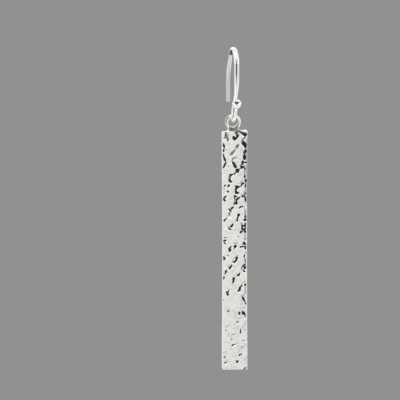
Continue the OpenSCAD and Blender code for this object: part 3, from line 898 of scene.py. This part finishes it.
@dataclass(frozen=True)
class Ring:
    """The ring: a rounded rectangle carried round, and drawn down a little at its foot.

    The section is a superellipse with its long side along the earring's depth. Arcs are
    counted from the ring's right side, in degrees, and depths in shares of a half section.
    """

    x: float = -0.33
    wire: float = 0.58
    depth: float = 0.76
    hole: float = 1.96
    power: float = 0.6
    drop: float = 0.04
    seat: float = 0.12
    seat_arc: Arc = (78, 42)
    points_round: int = 144
    points_across: int = 48
    line_width: float = 0.12
    line_at: float = 0.8
    line_arc: Arc = (152, 40)
    faint_line: float = 0.45
    faint_line_arc: Arc = (188, 45)
    inner_line_arc: Arc = (-36, 36)
    low_mottle: Film = Film(0.62, (Noise(0.2, 0.24, 61),))
    low_arc: Arc = (270, 62)
    low_depth: Span = (0.4, 0.8)
    hole_tone: float = 0.4
    hole_arc: Arc = (20, 60)
    hole_depth: Span = (0.3, 0.8)

    @property
    def radius(self) -> float:
        """Radius of the ring's centreline."""
        return (self.hole + self.wire) / 2

    def shell(self, y_mid: float, centre_z: float) -> Shell:
        """Makes the ring, which is thicker on its inside at the top, where the eye holds it.

        Its front corners carry a painted shade line at the upper left, outside, and at the lower
        right, inside. Its foot is mottled, and the wall of its hole carries painted shade on the right.

        Args:
            y_mid: where its middle lies, front to back.
            centre_z: the height of its centre.

        Returns:
            The closed surface of the ring.
        """
        u, v = once_round(self.points_round)[:, None], once_round(self.points_across)[None, :]
        half, deep = self.wire / 2, self.depth / 2
        p = half * squared_off(np.cos(v), self.power)
        q = deep * squared_off(np.sin(v), self.power)
        seat = self.seat * about(u, self.seat_arc)
        radius = self.radius + p - seat * np.clip(-p / half, 0.0, 1.0)
        drawn = 1 + self.drop * rise(-np.sin(u), 0.0, 1.0)
        points = np.stack([self.x + radius * np.cos(u), y_mid + q + 0 * u,
                           centre_z + radius * np.sin(u) * drawn], axis=-1)
        index = np.arange(u.size * v.size).reshape(u.size, v.size)
        ahead, beside = np.roll(index, -1, axis=0), np.roll(index, -1, axis=1)
        corner = np.roll(ahead, -1, axis=1)
        faces = np.stack([index, ahead, corner, beside], axis=-1).reshape(-1, 4)
        # Painted shade lines along the front corners
        outer, inner = (
            np.exp(-((p - side * self.line_at * half) ** 2 + (q + self.line_at * deep) ** 2)
                   / self.line_width ** 2) for side in (1, -1))
        upper_left = np.maximum(
            about(u, self.line_arc), self.faint_line * about(u, self.faint_line_arc))
        mottle = self.low_mottle.at(points[..., 0], points[..., 2])
        low = about(u, self.low_arc) * rise(-q / deep, *self.low_depth) * mottle
        # Painted shade on the wall of the hole, at the right
        wall = self.hole_tone * about(u, self.hole_arc) * rise(-p / half, *self.hole_depth)
        dark = np.maximum.reduce(
            [outer * upper_left, inner * about(u, self.inner_line_arc), low, wall])
        return Shell(points.reshape(-1, 3), [faces], dark.reshape(-1)).facing_out()


@dataclass(frozen=True)
class Neck:
    """The neck: rounded flat sections, carried up from the bar into the ring's foot.

    A section is a superellipse. The gap is the height from the bar's top edge to the ring's
    hole, and the overlap says how far outside the ring's centreline the neck ends, in
    thicknesses of the ring's wire. The other numbers are those of its colour. Spans of the
    front, the sides and the right side are counted from the section's middle, 0, to its
    outline, 1, and the rest are in millimetres, up from the bar or across.
    """

    x: float = -0.26
    gap: float = 0.92
    width: float = 2.3
    thickness: float = 0.72
    fillet: float = 0.5
    fillet_depth: float = 0.2
    overlap: float = 0.2
    power: float = 0.45
    start: float = -0.25
    sections: int = 44
    points_round: int = 72
    mottle: Film = Film(0.56, (Noise(0.2, 0.24, 71), Noise(0.12, 0.11, 72)))
    ragged: Noise = Noise(0.08, 0.3, 73)
    middle: float = 0.05
    front: Span = (0.2, 0.9)
    sides: Span = (0.76, 0.94)
    left_foot: float = 0.35
    left_side: Span = (-0.3, 0.3)
    foot: Span = (0.05, 0.25)
    right_tone: float = 0.85
    right_side: Span = (0.1, 0.5)
    right_top: Span = (0.12, 0.4)
    right_front: Span = (0.0, 0.6)

    def shell(self, ring: Ring, y_mid: float, bar_top: float) -> Shell:
        """Makes the neck, wider and thicker at its foot by the hollow of the fillet.

        Args:
            ring: the ring into whose foot it runs.
            y_mid: where its middle lies, front to back.
            bar_top: the height of the bar's top edge.

        Returns:
            The closed surface of the neck.
        """
        v = np.linspace(self.start, 1.0, self.sections)[:, None]
        t = once_round(self.points_round)[None, :]
        edge, ring_height = self.width / 2, self.gap + ring.hole / 2
        reach = ring.radius + self.overlap * ring.wire
        lift = ring_height - math.sqrt(reach ** 2 - edge ** 2)
        flare = quarter(v * lift, self.fillet)
        ex, ey = squared_off(np.cos(t), self.power), squared_off(np.sin(t), self.power)
        x = (edge + flare) * ex
        y = (self.thickness / 2 + self.fillet_depth * flare) * ey
        inside = np.minimum(np.abs(x), edge)
        height = v * (ring_height - np.sqrt(reach ** 2 - inside ** 2))
        points = np.stack([x + self.x, y + y_mid, bar_top + height], axis=-1)
        # The front is mottled brown, and bright again at its left foot and along its sides
        edge_at = np.abs(ex - self.middle) + self.ragged.at(x, height)
        dark = self.mottle.at(x, height) * rise(-ey + 0 * v, *self.front) * fall(
            edge_at, *self.sides)
        above_foot = height + self.left_foot * rise(x, *self.left_side)
        dark = dark * rise(above_foot, *self.foot)
        right_foot = rise(ex, *self.right_side) * fall(height, *self.right_top) * rise(
            -ey, *self.right_front)
        return Shell.tube(points, np.maximum(dark, self.right_tone * right_foot))


@dataclass
class BarDrop:
    """The hammered bar with its neck and ring, as one piece of silver.

    The rubs of the back are noise. It is read at a place across that is the first share of
    rubs_across times the point's place across, plus the second times its place down, and
    at a place down that is rubs_down times the point's. Names that end in share are spans
    down the bar, in shares of its length.
    """

    width: float
    thickness: float
    y_mid: float
    bar_top: float
    ring: Ring = Ring()
    neck: Neck = Neck()
    length: float = 50.65
    end_slant: float = 0.42
    corner_radius: float = 0.15
    corner_angles: tuple[float, ...] = (48, 60, 75, 90)
    edge_radius: float = 0.1
    edge_angles: tuple[float, ...] = (0, 18, 36, 54, 72, 90)
    waist: float = 0.07
    waist_start_share: Span = (0.08, 0.28)
    waist_end_share: Span = (0.42, 0.95)
    foot_flare: float = 0.06
    flare_share: Span = (0.7, 1.0)
    grid_step: float = 0.067
    back_step: float = 0.32
    back_relief: float = 0.012
    back_waves: Noise = Noise(1.0, 0.9, 41)
    back_border: Span = (0.0, 0.4)
    wall_shares: tuple[float, float] = (0.12, 0.88)
    wall_film: Film = Film(0.05, (Noise(0.06, 1.3, 84),))
    back_film: Film = Film(0.07, (Noise(0.08, 1.1, 81), Noise(0.05, 0.4, 82)))
    rubs: Noise = Noise(0.06, 1.0, 83)
    rubs_across: tuple[float, float] = (6.0, 0.4)
    rubs_down: float = 0.35

    @classmethod
    def from_frame(cls) -> "BarDrop":
        """Takes the width, the thickness and the place from the node's box.

        Returns:
            The bar drop in its place.
        """
        low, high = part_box(Node.BAR_DROP.value)
        low, high = low / METRES_PER_MM, high / METRES_PER_MM
        over_bar = Neck.gap + Ring.hole + Ring.wire
        return cls(width=high.x - low.x, thickness=high.y - low.y,
                   y_mid=(high.y + low.y) / 2, bar_top=high.z - over_bar)

    def _half_width(self, d: Array) -> Array:
        """Half width at d down the bar, which hammering left a little uneven.

        It is slightly narrower about a third of the way down and wider at the foot, and a
        quarter circle takes it in at each corner.

        Args:
            d: place down from the bar's top edge.

        Returns:
            Half of the bar's width there.
        """
        corner = quarter(np.minimum(d, self.length - d), self.corner_radius)
        share = d / self.length
        hollow = self.waist * rise(share, *self.waist_start_share) * fall(
            share, *self.waist_end_share)
        return self.width / 2 - corner - hollow + self.foot_flare * rise(
            share, *self.flare_share)

    def _grid(self, rows: Array, cols: Array, way: int) -> Grid:
        """Lays out the places of one face.

        Args:
            rows: distances down from the bar's top edge.
            cols: distances across, from 0 to the bar's width.
            way: 1 to run from left to right, and -1 from right to left.

        Returns:
            The places of its points.
        """
        d = np.repeat(rows[:, None], len(cols), axis=1)
        half = self._half_width(d)
        x = way * (cols[None, :] / self.width * 2 - 1) * half
        return Grid(x, d, half, np.minimum(np.minimum(half - np.abs(x), d), self.length - d))

    def _points(self, grid: Grid, y: Array) -> Array:
        """Points of a face, whose rows run down to the right towards the off-square end.

        Args:
            grid: the places of the face.
            y: how far behind the bar's middle they lie, negative in front of it.

        Returns:
            The points, as rows x columns x 3.
        """
        down = grid.d * (1 + self.end_slant * grid.x / (self.width * self.length))
        return np.stack([grid.x, y + self.y_mid, self.bar_top - down], axis=-1)

    def slab(self) -> Shell:
        """The bar: closed sections, carried down it row by row.

        A section runs across the hammered face, down one side, back across the plain
        back and up the other side. Both faces round over by a quarter circle at the
        outline, where the rows and columns lie closer.

        Returns:
            The closed surface of the bar.
        """
        close, corner = (radius * (1 - np.cos(np.radians(angles))) for radius, angles in (
            (self.edge_radius, self.edge_angles), (self.corner_radius, self.corner_angles)))
        rows = stations(self.length, np.concatenate([close, corner]), self.grid_step)
        face = self._grid(rows, stations(self.width, close, self.grid_step), 1)
        rear = self._grid(rows, stations(self.width, close, self.back_step), -1)
        depth, dark = HammeredFace(self.width, self.length).relief(face)
        face_y = -self.thickness / 2 + np.maximum(depth, quarter(face.inset, self.edge_radius))
        rear_y = self.thickness / 2 - quarter(rear.inset, self.edge_radius)
        waves = self.back_relief * (1 + self.back_waves.at(rear.x, rear.d))
        rear_y = rear_y - waves * rise(rear.inset, *self.back_border)
        front, back = self._points(face, face_y), self._points(rear, rear_y)
        # Two points on each side wall keep its normals level
        share = np.array(self.wall_shares)[None, :, None]
        right = front[:, -1:] * (1 - share) + back[:, :1] * share
        left = back[:, -1:] * (1 - share) + front[:, :1] * share
        rings = np.concatenate([front, right, back, left], axis=1)
        # The back and the sides carry a cloudy film, and faint rubs that run down the bar
        across, down = self.rubs_across
        rubs = self.rubs.at(across * rear.x + down * rear.d, self.rubs_down * rear.d)
        dull = self.back_film.at(rear.x, rear.d) + rubs
        walls = self.wall_film.at(0 * rows, rows)[:, None] * np.ones(
            (1, len(self.wall_shares)))
        return Shell.tube(rings, np.concatenate([dark, walls, dull, walls], axis=1))

    def build(self, material: bpy.types.Material) -> bpy.types.Object:
        """Makes the piece and puts it in the place of the model's node.

        Args:
            material: its silver.

        Returns:
            The new piece.
        """
        ring_z = self.bar_top + (self.neck.gap + self.ring.hole / 2)
        whole = Shell.together([self.slab(), self.ring.shell(self.y_mid, ring_z),
                                self.neck.shell(self.ring, self.y_mid, self.bar_top)])
        piece = whole.to_object("hammered_bar_drop", material)
        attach(piece, Body.DROP.value)
        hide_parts(Node.BAR_DROP.value)
        return piece


# Hook


@dataclass
class WirePath:
    """Places along a wire that lies in the plane x = 0, one number for each place.

    They are y and z in millimetres, the heading in degrees and the distance along it.
    """

    y: Array
    z: Array
    heading: Array
    distance: Array

    @staticmethod
    def of_moves(start: tuple[float, float, float], moves: list[tuple[float, float]],
                 step: float) -> "WirePath":
        """Follows straight stretches and arcs, one after the other.

        Over an arc the heading turns evenly, so a place is the start plus the arc's
        radius times the change of sine and cosine of the heading.

        Args:
            start: y, z and heading in degrees at the start.
            moves: length and turn in degrees of each stretch.
            step: wanted spacing of the places.

        Returns:
            The path, from its start to its end.
        """
        y0, z0, h0 = start
        gone = 0.0
        parts = [np.array([[y0, z0, h0, 0.0]])]
        for length, turn in moves:
            count = max(2, int(math.ceil(length / step)))
            share = np.arange(1, count + 1) / count
            h = np.radians(h0 + turn * share)
            if turn:
                r = length / math.radians(turn)
                y = y0 + r * (np.sin(h) - math.sin(math.radians(h0)))
                z = z0 - r * (np.cos(h) - math.cos(math.radians(h0)))
            else:
                y, z = y0 + length * share * np.cos(h), z0 + length * share * np.sin(h)
            parts.append(np.stack([y, z, h0 + turn * share, gone + length * share], axis=-1))
            y0, z0, h0, gone = y[-1], z[-1], h0 + turn, gone + length
        return WirePath(*np.concatenate(parts).T)

    def then(self, *more: Array) -> "WirePath":
        """Goes on with further places, given as y, z, heading and distance."""
        return WirePath(*(np.append(a, b) for a, b in zip(vars(self).values(), more)))


@dataclass
class EarHook:
    """The ear hook: one wire from the tip of its back leg to the ball on its eye's end.

    Lengths are in millimetres, and slopes, turns and angles in degrees. Spans along the
    wire are distances from the crest, positive to the front, but for the leg's widening,
    which is counted to the back, and the flank's, which say from where.
    """

    # Course of the wire
    crest_front: float = 2.45
    crest_back: float = 2.9
    front_drop: float = 2.8
    bend_radius: float = 9.0
    bend_turn: float = 36.0
    slant: float = 1.95
    leg_slope: float = 28.0
    leg: float = 3.4
    tail_radius: float = 9.0
    tail_in: float = 6.0
    tip_slope: float = 10.0
    eye_hole: float = 1.84
    eye_wire: float = 0.74
    end_slope: float = 13.0
    free_end: float = 2.95
    lean: float = -0.38
    lean_in: float = 0.8
    lean_back: float = 0.6
    step: float = 0.06
    sides: int = 56
    # Section of the wire. It flattens from a share of the back crest's radius to one of the
    # front's, and is round again after a share of the lower bend
    wire: float = 0.72
    flat_width: float = 1.02
    flat_thickness: float = 0.64
    flat_from: float = 0.8
    flat_by: float = 0.6
    round_again: float = 0.7
    leg_width: float = 0.86
    leg_widening: Span = (3.5, 6.0)
    # Ball and collar, whose start and length along the wire are shares of the ball's size
    ball: float = 1.8
    collar: float = 1.3
    collar_start: float = 0.6
    collar_length: float = 0.42
    head_start: float = 0.62
    blend_power: int = 8
    least_size: float = 1e-3
    least_tip: float = 1e-4
    # First and last angle past the ball's centre, and how many there are
    pole_angles: tuple[float, float, int] = (4, 89, 22)
    # Direction from the ball's centre to the middle of a painted reflection on it, and the sizes of its
    # heart shape
    reflection_facing: tuple[float, float, float] = (-0.25, -0.86, 0.44)
    reflection_size: float = 0.35
    reflection_across: float = 1.15
    reflection_up: float = 0.88
    reflection_notch: float = 0.6
    reflection_edge: Span = (0.5, 1.5)
    reflection_tone: float = 0.85
    # Crease along the outer side of the front strand: a shallow groove, whose darkness is a painted
    # reflection
    crease_width: float = 0.14
    crease_shift: float = -0.12
    crease_depth: float = 0.12
    crease_reflection_tone: float = 0.95
    crease_start: Span = (2.3, 3.9)
    crease_fade: Span = (5.0, 7.2)
    crease_loss: float = 0.65
    crease_end: Span = (6.8, 8.8)
    # Painted shade on the inside of the crest, a darker back leg, and painted shade along the left side of
    # the free end
    under_tone: float = 0.75
    under_start: Span = (-3.9, -2.9)
    under_end: Span = (-1.4, -0.2)
    under_round: Span = (-0.2, 0.6)
    leg_tone: float = 0.26
    leg_end: Span = (-2.6, -1.6)
    flank_tone: float = 0.75
    flank_from_eye: Span = (-0.4, 0.2)
    flank_from_ball: Span = (-1.0, -0.6)
    flank_angle: float = 168.0
    flank_round: Span = (0.85, 0.97)

    @staticmethod
    def _arc(radius: float, turn: float) -> tuple[float, float]:
        """Length and turn of an arc of that radius, from its turn in degrees."""
        return radius * math.radians(abs(turn)), turn

    @property
    def crest_z(self) -> float:
        """Height of the wire's centre at the crest, over the inside of the crest."""
        return (self.wire + self.flat_thickness) / 4

    @property
    def strand_end(self) -> float:
        """Distance from the crest to the end of the front strand's straight stretch."""
        return self._arc(self.crest_front, 90)[0] + self.front_drop

    @property
    def eye_start(self) -> float:
        """Distance from the crest to the start of the eye."""
        return self.strand_end + self._arc(self.bend_radius, self.bend_turn)[0] + self.slant

    def _path(self) -> WirePath:
        """The whole wire: tip, back leg, crest, front strand, eye and free end.

        Returns:
            The path, with distances counted from the crest, positive to the front.
        """
        eye_r = (self.eye_hole + self.eye_wire) / 2
        eye_turn = 180 - self.end_slope + self.bend_turn
        front = WirePath.of_moves((0.0, self.crest_z, 180.0), [
            self._arc(self.crest_front, 90.0), (self.front_drop, 0.0),
            self._arc(self.bend_radius, self.bend_turn), (self.slant, 0.0),
            self._arc(eye_r, -eye_turn), (self.free_end, 0.0)], self.step)
        back = WirePath.of_moves((0.0, self.crest_z, 0.0), [
            self._arc(self.crest_back, self.leg_slope - 90), (self.leg, 0.0),
            self._arc(self.tail_radius, -self.leg_slope - self.tail_in),
            self._arc(self.tail_radius, self.tail_in + self.tip_slope)], self.step)
        y, z, heading, distance = (column[:0:-1] for column in vars(back).values())
        return WirePath(y, z, heading + 180, -distance).then(*vars(front).values())

    def _flatness(self, s: Array) -> Array:
        """Share of the full flattening: in over the crest, and out along the lower bend."""
        bend = self._arc(self.bend_radius, self.bend_turn)[0]
        return rise(s, -self.flat_from * self.crest_back, self.flat_by * self.crest_front) * (
            fall(s, self.strand_end, self.strand_end + self.round_again * bend))

    def _half_sizes(self, s: Array, end: float) -> tuple[Array, Array]:
        """Half width and half thickness of the wire, the ball and its collar among them.

        The tip and the ball end as spheres. The collar is a cone, blended with the ball
        by an eighth-power mean.

        Args:
            s: distance along the wire from the crest.
            end: distance of the ball's centre.

        Returns:
            The half sizes across and in the hook's plane.
        """
        f = self._flatness(s)
        plain = self.wire + (self.eye_wire - self.wire) * rise(
            s, self.eye_start - self.slant, self.eye_start)
        leg = (self.leg_width - self.wire) * rise(-s, *self.leg_widening)
        a = (plain + (self.flat_width - self.wire) * f + leg) / 2
        b = (plain + (self.flat_thickness - self.wire) * f) / 2
        from_tip = np.minimum((s - s[0]) / (self.wire / 2), 1)
        tip = np.sqrt(np.clip(1 - (1 - from_tip) ** 2, self.least_tip, 1))
        t = s - end
        along = np.clip((t + self.collar_start * self.ball) / (self.collar_length * self.ball), 0, 1)
        cone = self.eye_wire / 2 + (self.collar - self.eye_wire) / 2 * along
        cone = np.where(t > 0, 0.0, cone)
        sphere = np.sqrt(np.maximum(self.ball ** 2 / 4 - t * t, 0.0))
        power = self.blend_power
        cone = np.maximum(cone, self.least_size)
        headed = (cone ** power + sphere ** power) ** (1 / power)
        near_ball = t > -self.head_start * self.ball
        return np.where(near_ball, headed, a * tip), np.where(near_ball, headed, b * tip)

    def _with_ball(self, path: WirePath) -> WirePath:
        """Goes on past the ball's centre to its far pole, in even angles of the sphere.

        Args:
            path: the wire's path up to the ball's centre.

        Returns:
            The path that ends at the ball's pole.
        """
        ahead = self.ball / 2 * np.sin(np.radians(np.linspace(*self.pole_angles)))
        h = math.radians(path.heading[-1])
        return path.then(path.y[-1] + ahead * math.cos(h), path.z[-1] + ahead * math.sin(h),
                         path.heading[-1] + 0 * ahead, path.distance[-1] + ahead)

    def _ball_reflection(self, place: Array) -> Array:
        """Darkness of a painted reflection on the ball, which is heart-shaped.

        With p across and q up from its middle, both in shares of its size, the heart is
        where p squared plus the square of (q minus the notch times |p|) stays below one.

        Args:
            place: points relative to the ball's centre.

        Returns:
            The darkness at each point.
        """
        facing = np.array(self.reflection_facing)
        right = np.array([-facing[1], facing[0], 0.0])
        right = right / np.linalg.norm(right)
        p = place @ right / (self.reflection_across * self.reflection_size)
        q = place @ np.cross(facing, right) / (self.reflection_up * self.reflection_size)
        heart = p * p + (q - self.reflection_notch * np.abs(p)) ** 2
        return self.reflection_tone * fall(heart, *self.reflection_edge) * (place @ facing > 0)

    def _crease(self, s: Array, a: Array, angle: Array) -> Array:
        """How far each point lies in the crease: a bell curve across the wire's outer side.

        Args:
            s: distance along the wire from the crest.
            a: half width of the wire there.
            angle: angles round the wire.

        Returns:
            The share of the crease's full depth, at each distance and angle.
        """
        strength = rise(s, *self.crease_start) * (
            1 - self.crease_loss * rise(s, *self.crease_fade)) * fall(s, *self.crease_end)
        from_outside = np.mod(angle + np.pi / 2 + np.pi, 2 * np.pi) - np.pi
        off = (from_outside * a[:, None] - self.crease_shift) / self.crease_width
        return strength[:, None] * np.exp(-off ** 2)

    def _leaning(self, s: Array, eye_end: float) -> Array:
        """Shift of the eye's front to the left, which the free end takes back.

        Args:
            s: distance along the wire from the crest.
            eye_end: distance of the eye's end.

        Returns:
            The shift along x at each distance.
        """
        back = (s - eye_end + self.lean_back) / (self.free_end + self.lean_back)
        out = rise(s, self.eye_start + self.lean_in, eye_end - self.lean_back)
        return self.lean * out * (1 - np.clip(back, 0, 1))

    def _shade_and_dark_leg(self, s: Array, end: float, angle: Array) -> list[Array]:
        """Darkness of three places: painted shade under the crest's back, a darker back leg, and painted
        shade along the free end's left side.

        Args:
            s: distance along the wire from the crest.
            end: distance of the ball's centre.
            angle: angles round the wire.

        Returns:
            The darkness under the crest's back, on the back leg, and along the free end.
        """
        along = (rise(s, *self.under_start) * fall(s, *self.under_end))[:, None]
        # Painted shade on the inside of the crest's back
        under = self.under_tone * along * rise(np.sin(angle), *self.under_round)
        leg = self.leg_tone * fall(s, *self.leg_end)[:, None] + 0 * angle
        eye_end = end - self.free_end
        # Painted shade along the left side of the free end, where it passes in front of the strand
        free = rise(s, *(eye_end + at for at in self.flank_from_eye)) * fall(
            s, *(end + at for at in self.flank_from_ball))
        left = np.cos(angle - math.radians(self.flank_angle))
        flank = self.flank_tone * free[:, None] * rise(left, *self.flank_round)
        return [under, leg, flank]

    def skin(self) -> Shell:
        """The hook's surface: an oval carried along the path, apart from the eye's lean.

        Returns:
            The closed surface of the hook.
        """
        short = self._path()
        path = self._with_ball(short)
        s, end = path.distance, short.distance[-1]
        a, b = self._half_sizes(s, end)
        angle = once_round(self.sides)[None, :]
        crease = self._crease(s, a, angle)
        out = b[:, None] * np.sin(angle) * (1.0 - self.crease_depth * crease)
        h = np.radians(path.heading)[:, None]
        across = a[:, None] * np.cos(angle) + self._leaning(s, end - self.free_end)[:, None]
        points = np.stack([across, path.y[:, None] - out * np.sin(h),
                           path.z[:, None] + out * np.cos(h)], axis=-1)
        ball = np.array([0.0, short.y[-1], short.z[-1]])
        # Painted reflection on the ball, near its pole
        reflection_spot = self._ball_reflection(points - ball) * (s > end - self.ball)[:, None]
        # Painted reflections in the crease and on the ball, painted shade under the crest and beside the
        # free end, and a darker back leg
        dark = np.maximum.reduce([self.crease_reflection_tone * crease, reflection_spot, *self._shade_and_dark_leg(s, end, angle)])
        return Shell.tube(points, dark)

    def build(self, material: bpy.types.Material) -> bpy.types.Object:
        """Makes the piece and puts it in the place of the model's node.

        Args:
            material: its silver.

        Returns:
            The new piece.
        """
        piece = self.skin().to_object("ball_ended_hook", material)
        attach(piece, Body.HOOK.value)
        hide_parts(Node.EAR_HOOK.value)
        return piece


# Studio


@dataclass(frozen=True)
class Panel:
    """A soft light panel: where it is seen from the earring, its size and its brightness."""

    name: str
    azimuth: float
    elevation: float
    distance: float
    width: float
    height: float
    radiance: float


@dataclass
class Studio:
    """Floor, light and camera, in metres, with angles in degrees.

    The focal length and the place of the centre in the picture are in its pixels.
    """

    centre: Vector = field(default_factory=lambda: Vector((0.0, -0.0005, -0.032)))
    floor_z: float = -0.60
    floor_size: float = 12.0
    floor_tone: float = 0.30
    floor_roughness: float = 0.9
    world_tone: float = 0.85
    azimuth: float = -12.8
    elevation: float = 20.0
    camera_distance: float = 0.45
    nearest: float = 0.01
    focal_pixels: float = 2275.0
    picture: float = 400.0
    centre_at: tuple[float, float] = (234.5, 207.45)
    panels: tuple[Panel, ...] = (
        Panel("front_low_panel", 4.0, -24.0, 0.40, 0.90, 0.46, 0.53),
        Panel("under_panel", 14.0, -86.0, 0.40, 0.90, 0.46, 0.70),
        Panel("right_panel", 88.0, -18.0, 0.45, 0.60, 0.60, 0.55),
        Panel("left_panel", -78.0, -18.0, 0.45, 0.60, 0.60, 0.60),
        Panel("rim_panel", -167.0, -22.0, 0.40, 0.60, 0.36, 0.65),
        Panel("back_panel", 167.0, 28.0, 0.50, 0.60, 0.40, 0.30),
        Panel("top_panel", -10.0, 70.0, 0.45, 0.60, 0.50, 0.4),
    )

    @staticmethod
    def _outward(azimuth: float, elevation: float) -> Vector:
        """Direction from the earring towards a camera or light at those angles."""
        a, e = math.radians(azimuth), math.radians(elevation)
        return Vector((math.sin(a) * math.cos(e), -math.cos(a) * math.cos(e), math.sin(e)))

    def _floor(self) -> bpy.types.Object:
        """A plain pale floor, some way below the hanging earring.

        Returns:
            The floor.
        """
        half = self.floor_size / 2
        corners = [(x * half, y * half, self.floor_z) for x, y in (
            (-1, -1), (1, -1), (1, 1), (-1, 1))]
        mesh = bpy.data.meshes.new("floor")
        mesh.from_pydata(corners, [], [(0, 1, 2, 3)])
        material = bpy.data.materials.new("floor_matte")
        material.use_nodes = True
        shader = material.node_tree.nodes["Principled BSDF"]
        shader.inputs["Base Color"].default_value = (*[self.floor_tone] * 3, 1.0)
        shader.inputs["Roughness"].default_value = self.floor_roughness
        mesh.materials.append(material)
        floor = bpy.data.objects.new("floor", mesh)
        bpy.context.scene.collection.objects.link(floor)
        return floor

    def _panel(self, panel: Panel) -> bpy.types.Object:
        """Hangs one light panel, turned to the earring.

        A panel's power is its radiance times pi times its area.

        Args:
            panel: its place, size and brightness.

        Returns:
            The light.
        """
        lamp = bpy.data.lights.new(panel.name, "AREA")
        lamp.shape = "RECTANGLE"
        lamp.size, lamp.size_y = panel.width, panel.height
        lamp.energy = panel.radiance * math.pi * panel.width * panel.height
        light = bpy.data.objects.new(panel.name, lamp)
        outward = self._outward(panel.azimuth, panel.elevation)
        light.location = self.centre + outward * panel.distance
        light.rotation_euler = outward.to_track_quat("Z", "Y").to_euler()
        light.visible_camera = False
        bpy.context.scene.collection.objects.link(light)
        return light

    def _camera(self) -> bpy.types.Object:
        """The camera at the photograph's angle, turned so that the centre lands in place.

        Returns:
            The camera, which is made the scene's own.
        """
        back = self._outward(self.azimuth, self.elevation)
        right = Vector((math.cos(math.radians(self.azimuth)),
                        math.sin(math.radians(self.azimuth)), 0.0))
        up, ahead = back.cross(right), -back
        middle = self.picture / 2
        pan = math.atan2(self.centre_at[0] - middle, self.focal_pixels)
        tilt = math.atan2(middle - self.centre_at[1], self.focal_pixels)
        right, ahead = (right * math.cos(pan) + ahead * math.sin(pan),
                        ahead * math.cos(pan) - right * math.sin(pan))
        up, ahead = (up * math.cos(tilt) + ahead * math.sin(tilt),
                     ahead * math.cos(tilt) - up * math.sin(tilt))
        lens = bpy.data.cameras.new("camera")
        lens.sensor_fit = "HORIZONTAL"
        lens.angle = 2 * math.atan(middle / self.focal_pixels)
        lens.clip_start = self.nearest
        camera = bpy.data.objects.new("camera", lens)
        turned = Matrix((right, up, -ahead)).transposed().to_4x4()
        camera.matrix_world = Matrix.Translation(
            self.centre + back * self.camera_distance) @ turned
        bpy.context.scene.collection.objects.link(camera)
        bpy.context.scene.camera = camera
        return camera

    def build(self) -> None:
        """Puts up the world's light, the floor, the panels and the camera."""
        world = bpy.data.worlds.new("studio")
        world.use_nodes = True
        tone = world.node_tree.nodes["Background"].inputs["Color"]
        tone.default_value = (*[self.world_tone] * 3, 1.0)
        bpy.context.scene.world = world
        bpy.context.scene.view_settings.view_transform = "Standard"
        self._floor()
        for panel in self.panels:
            self._panel(panel)
        self._camera()


def main() -> None:
    """Loads the frame, builds the two pieces and the studio, and reports each piece."""
    logging.basicConfig(level=logging.INFO, format="%(name)s: %(message)s")
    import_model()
    workshop = SilverWorkshop()
    pieces = [
        EarHook().build(workshop.silver(HOOK_FINISH)),
        BarDrop.from_frame().build(workshop.silver(BAR_FINISH)),
    ]
    Studio().build()
    for piece in pieces:
        log.info("%s: %d points, %d faces", piece.name, len(piece.data.vertices),
                 len(piece.data.polygons))


if __name__ == "__main__":
    main()
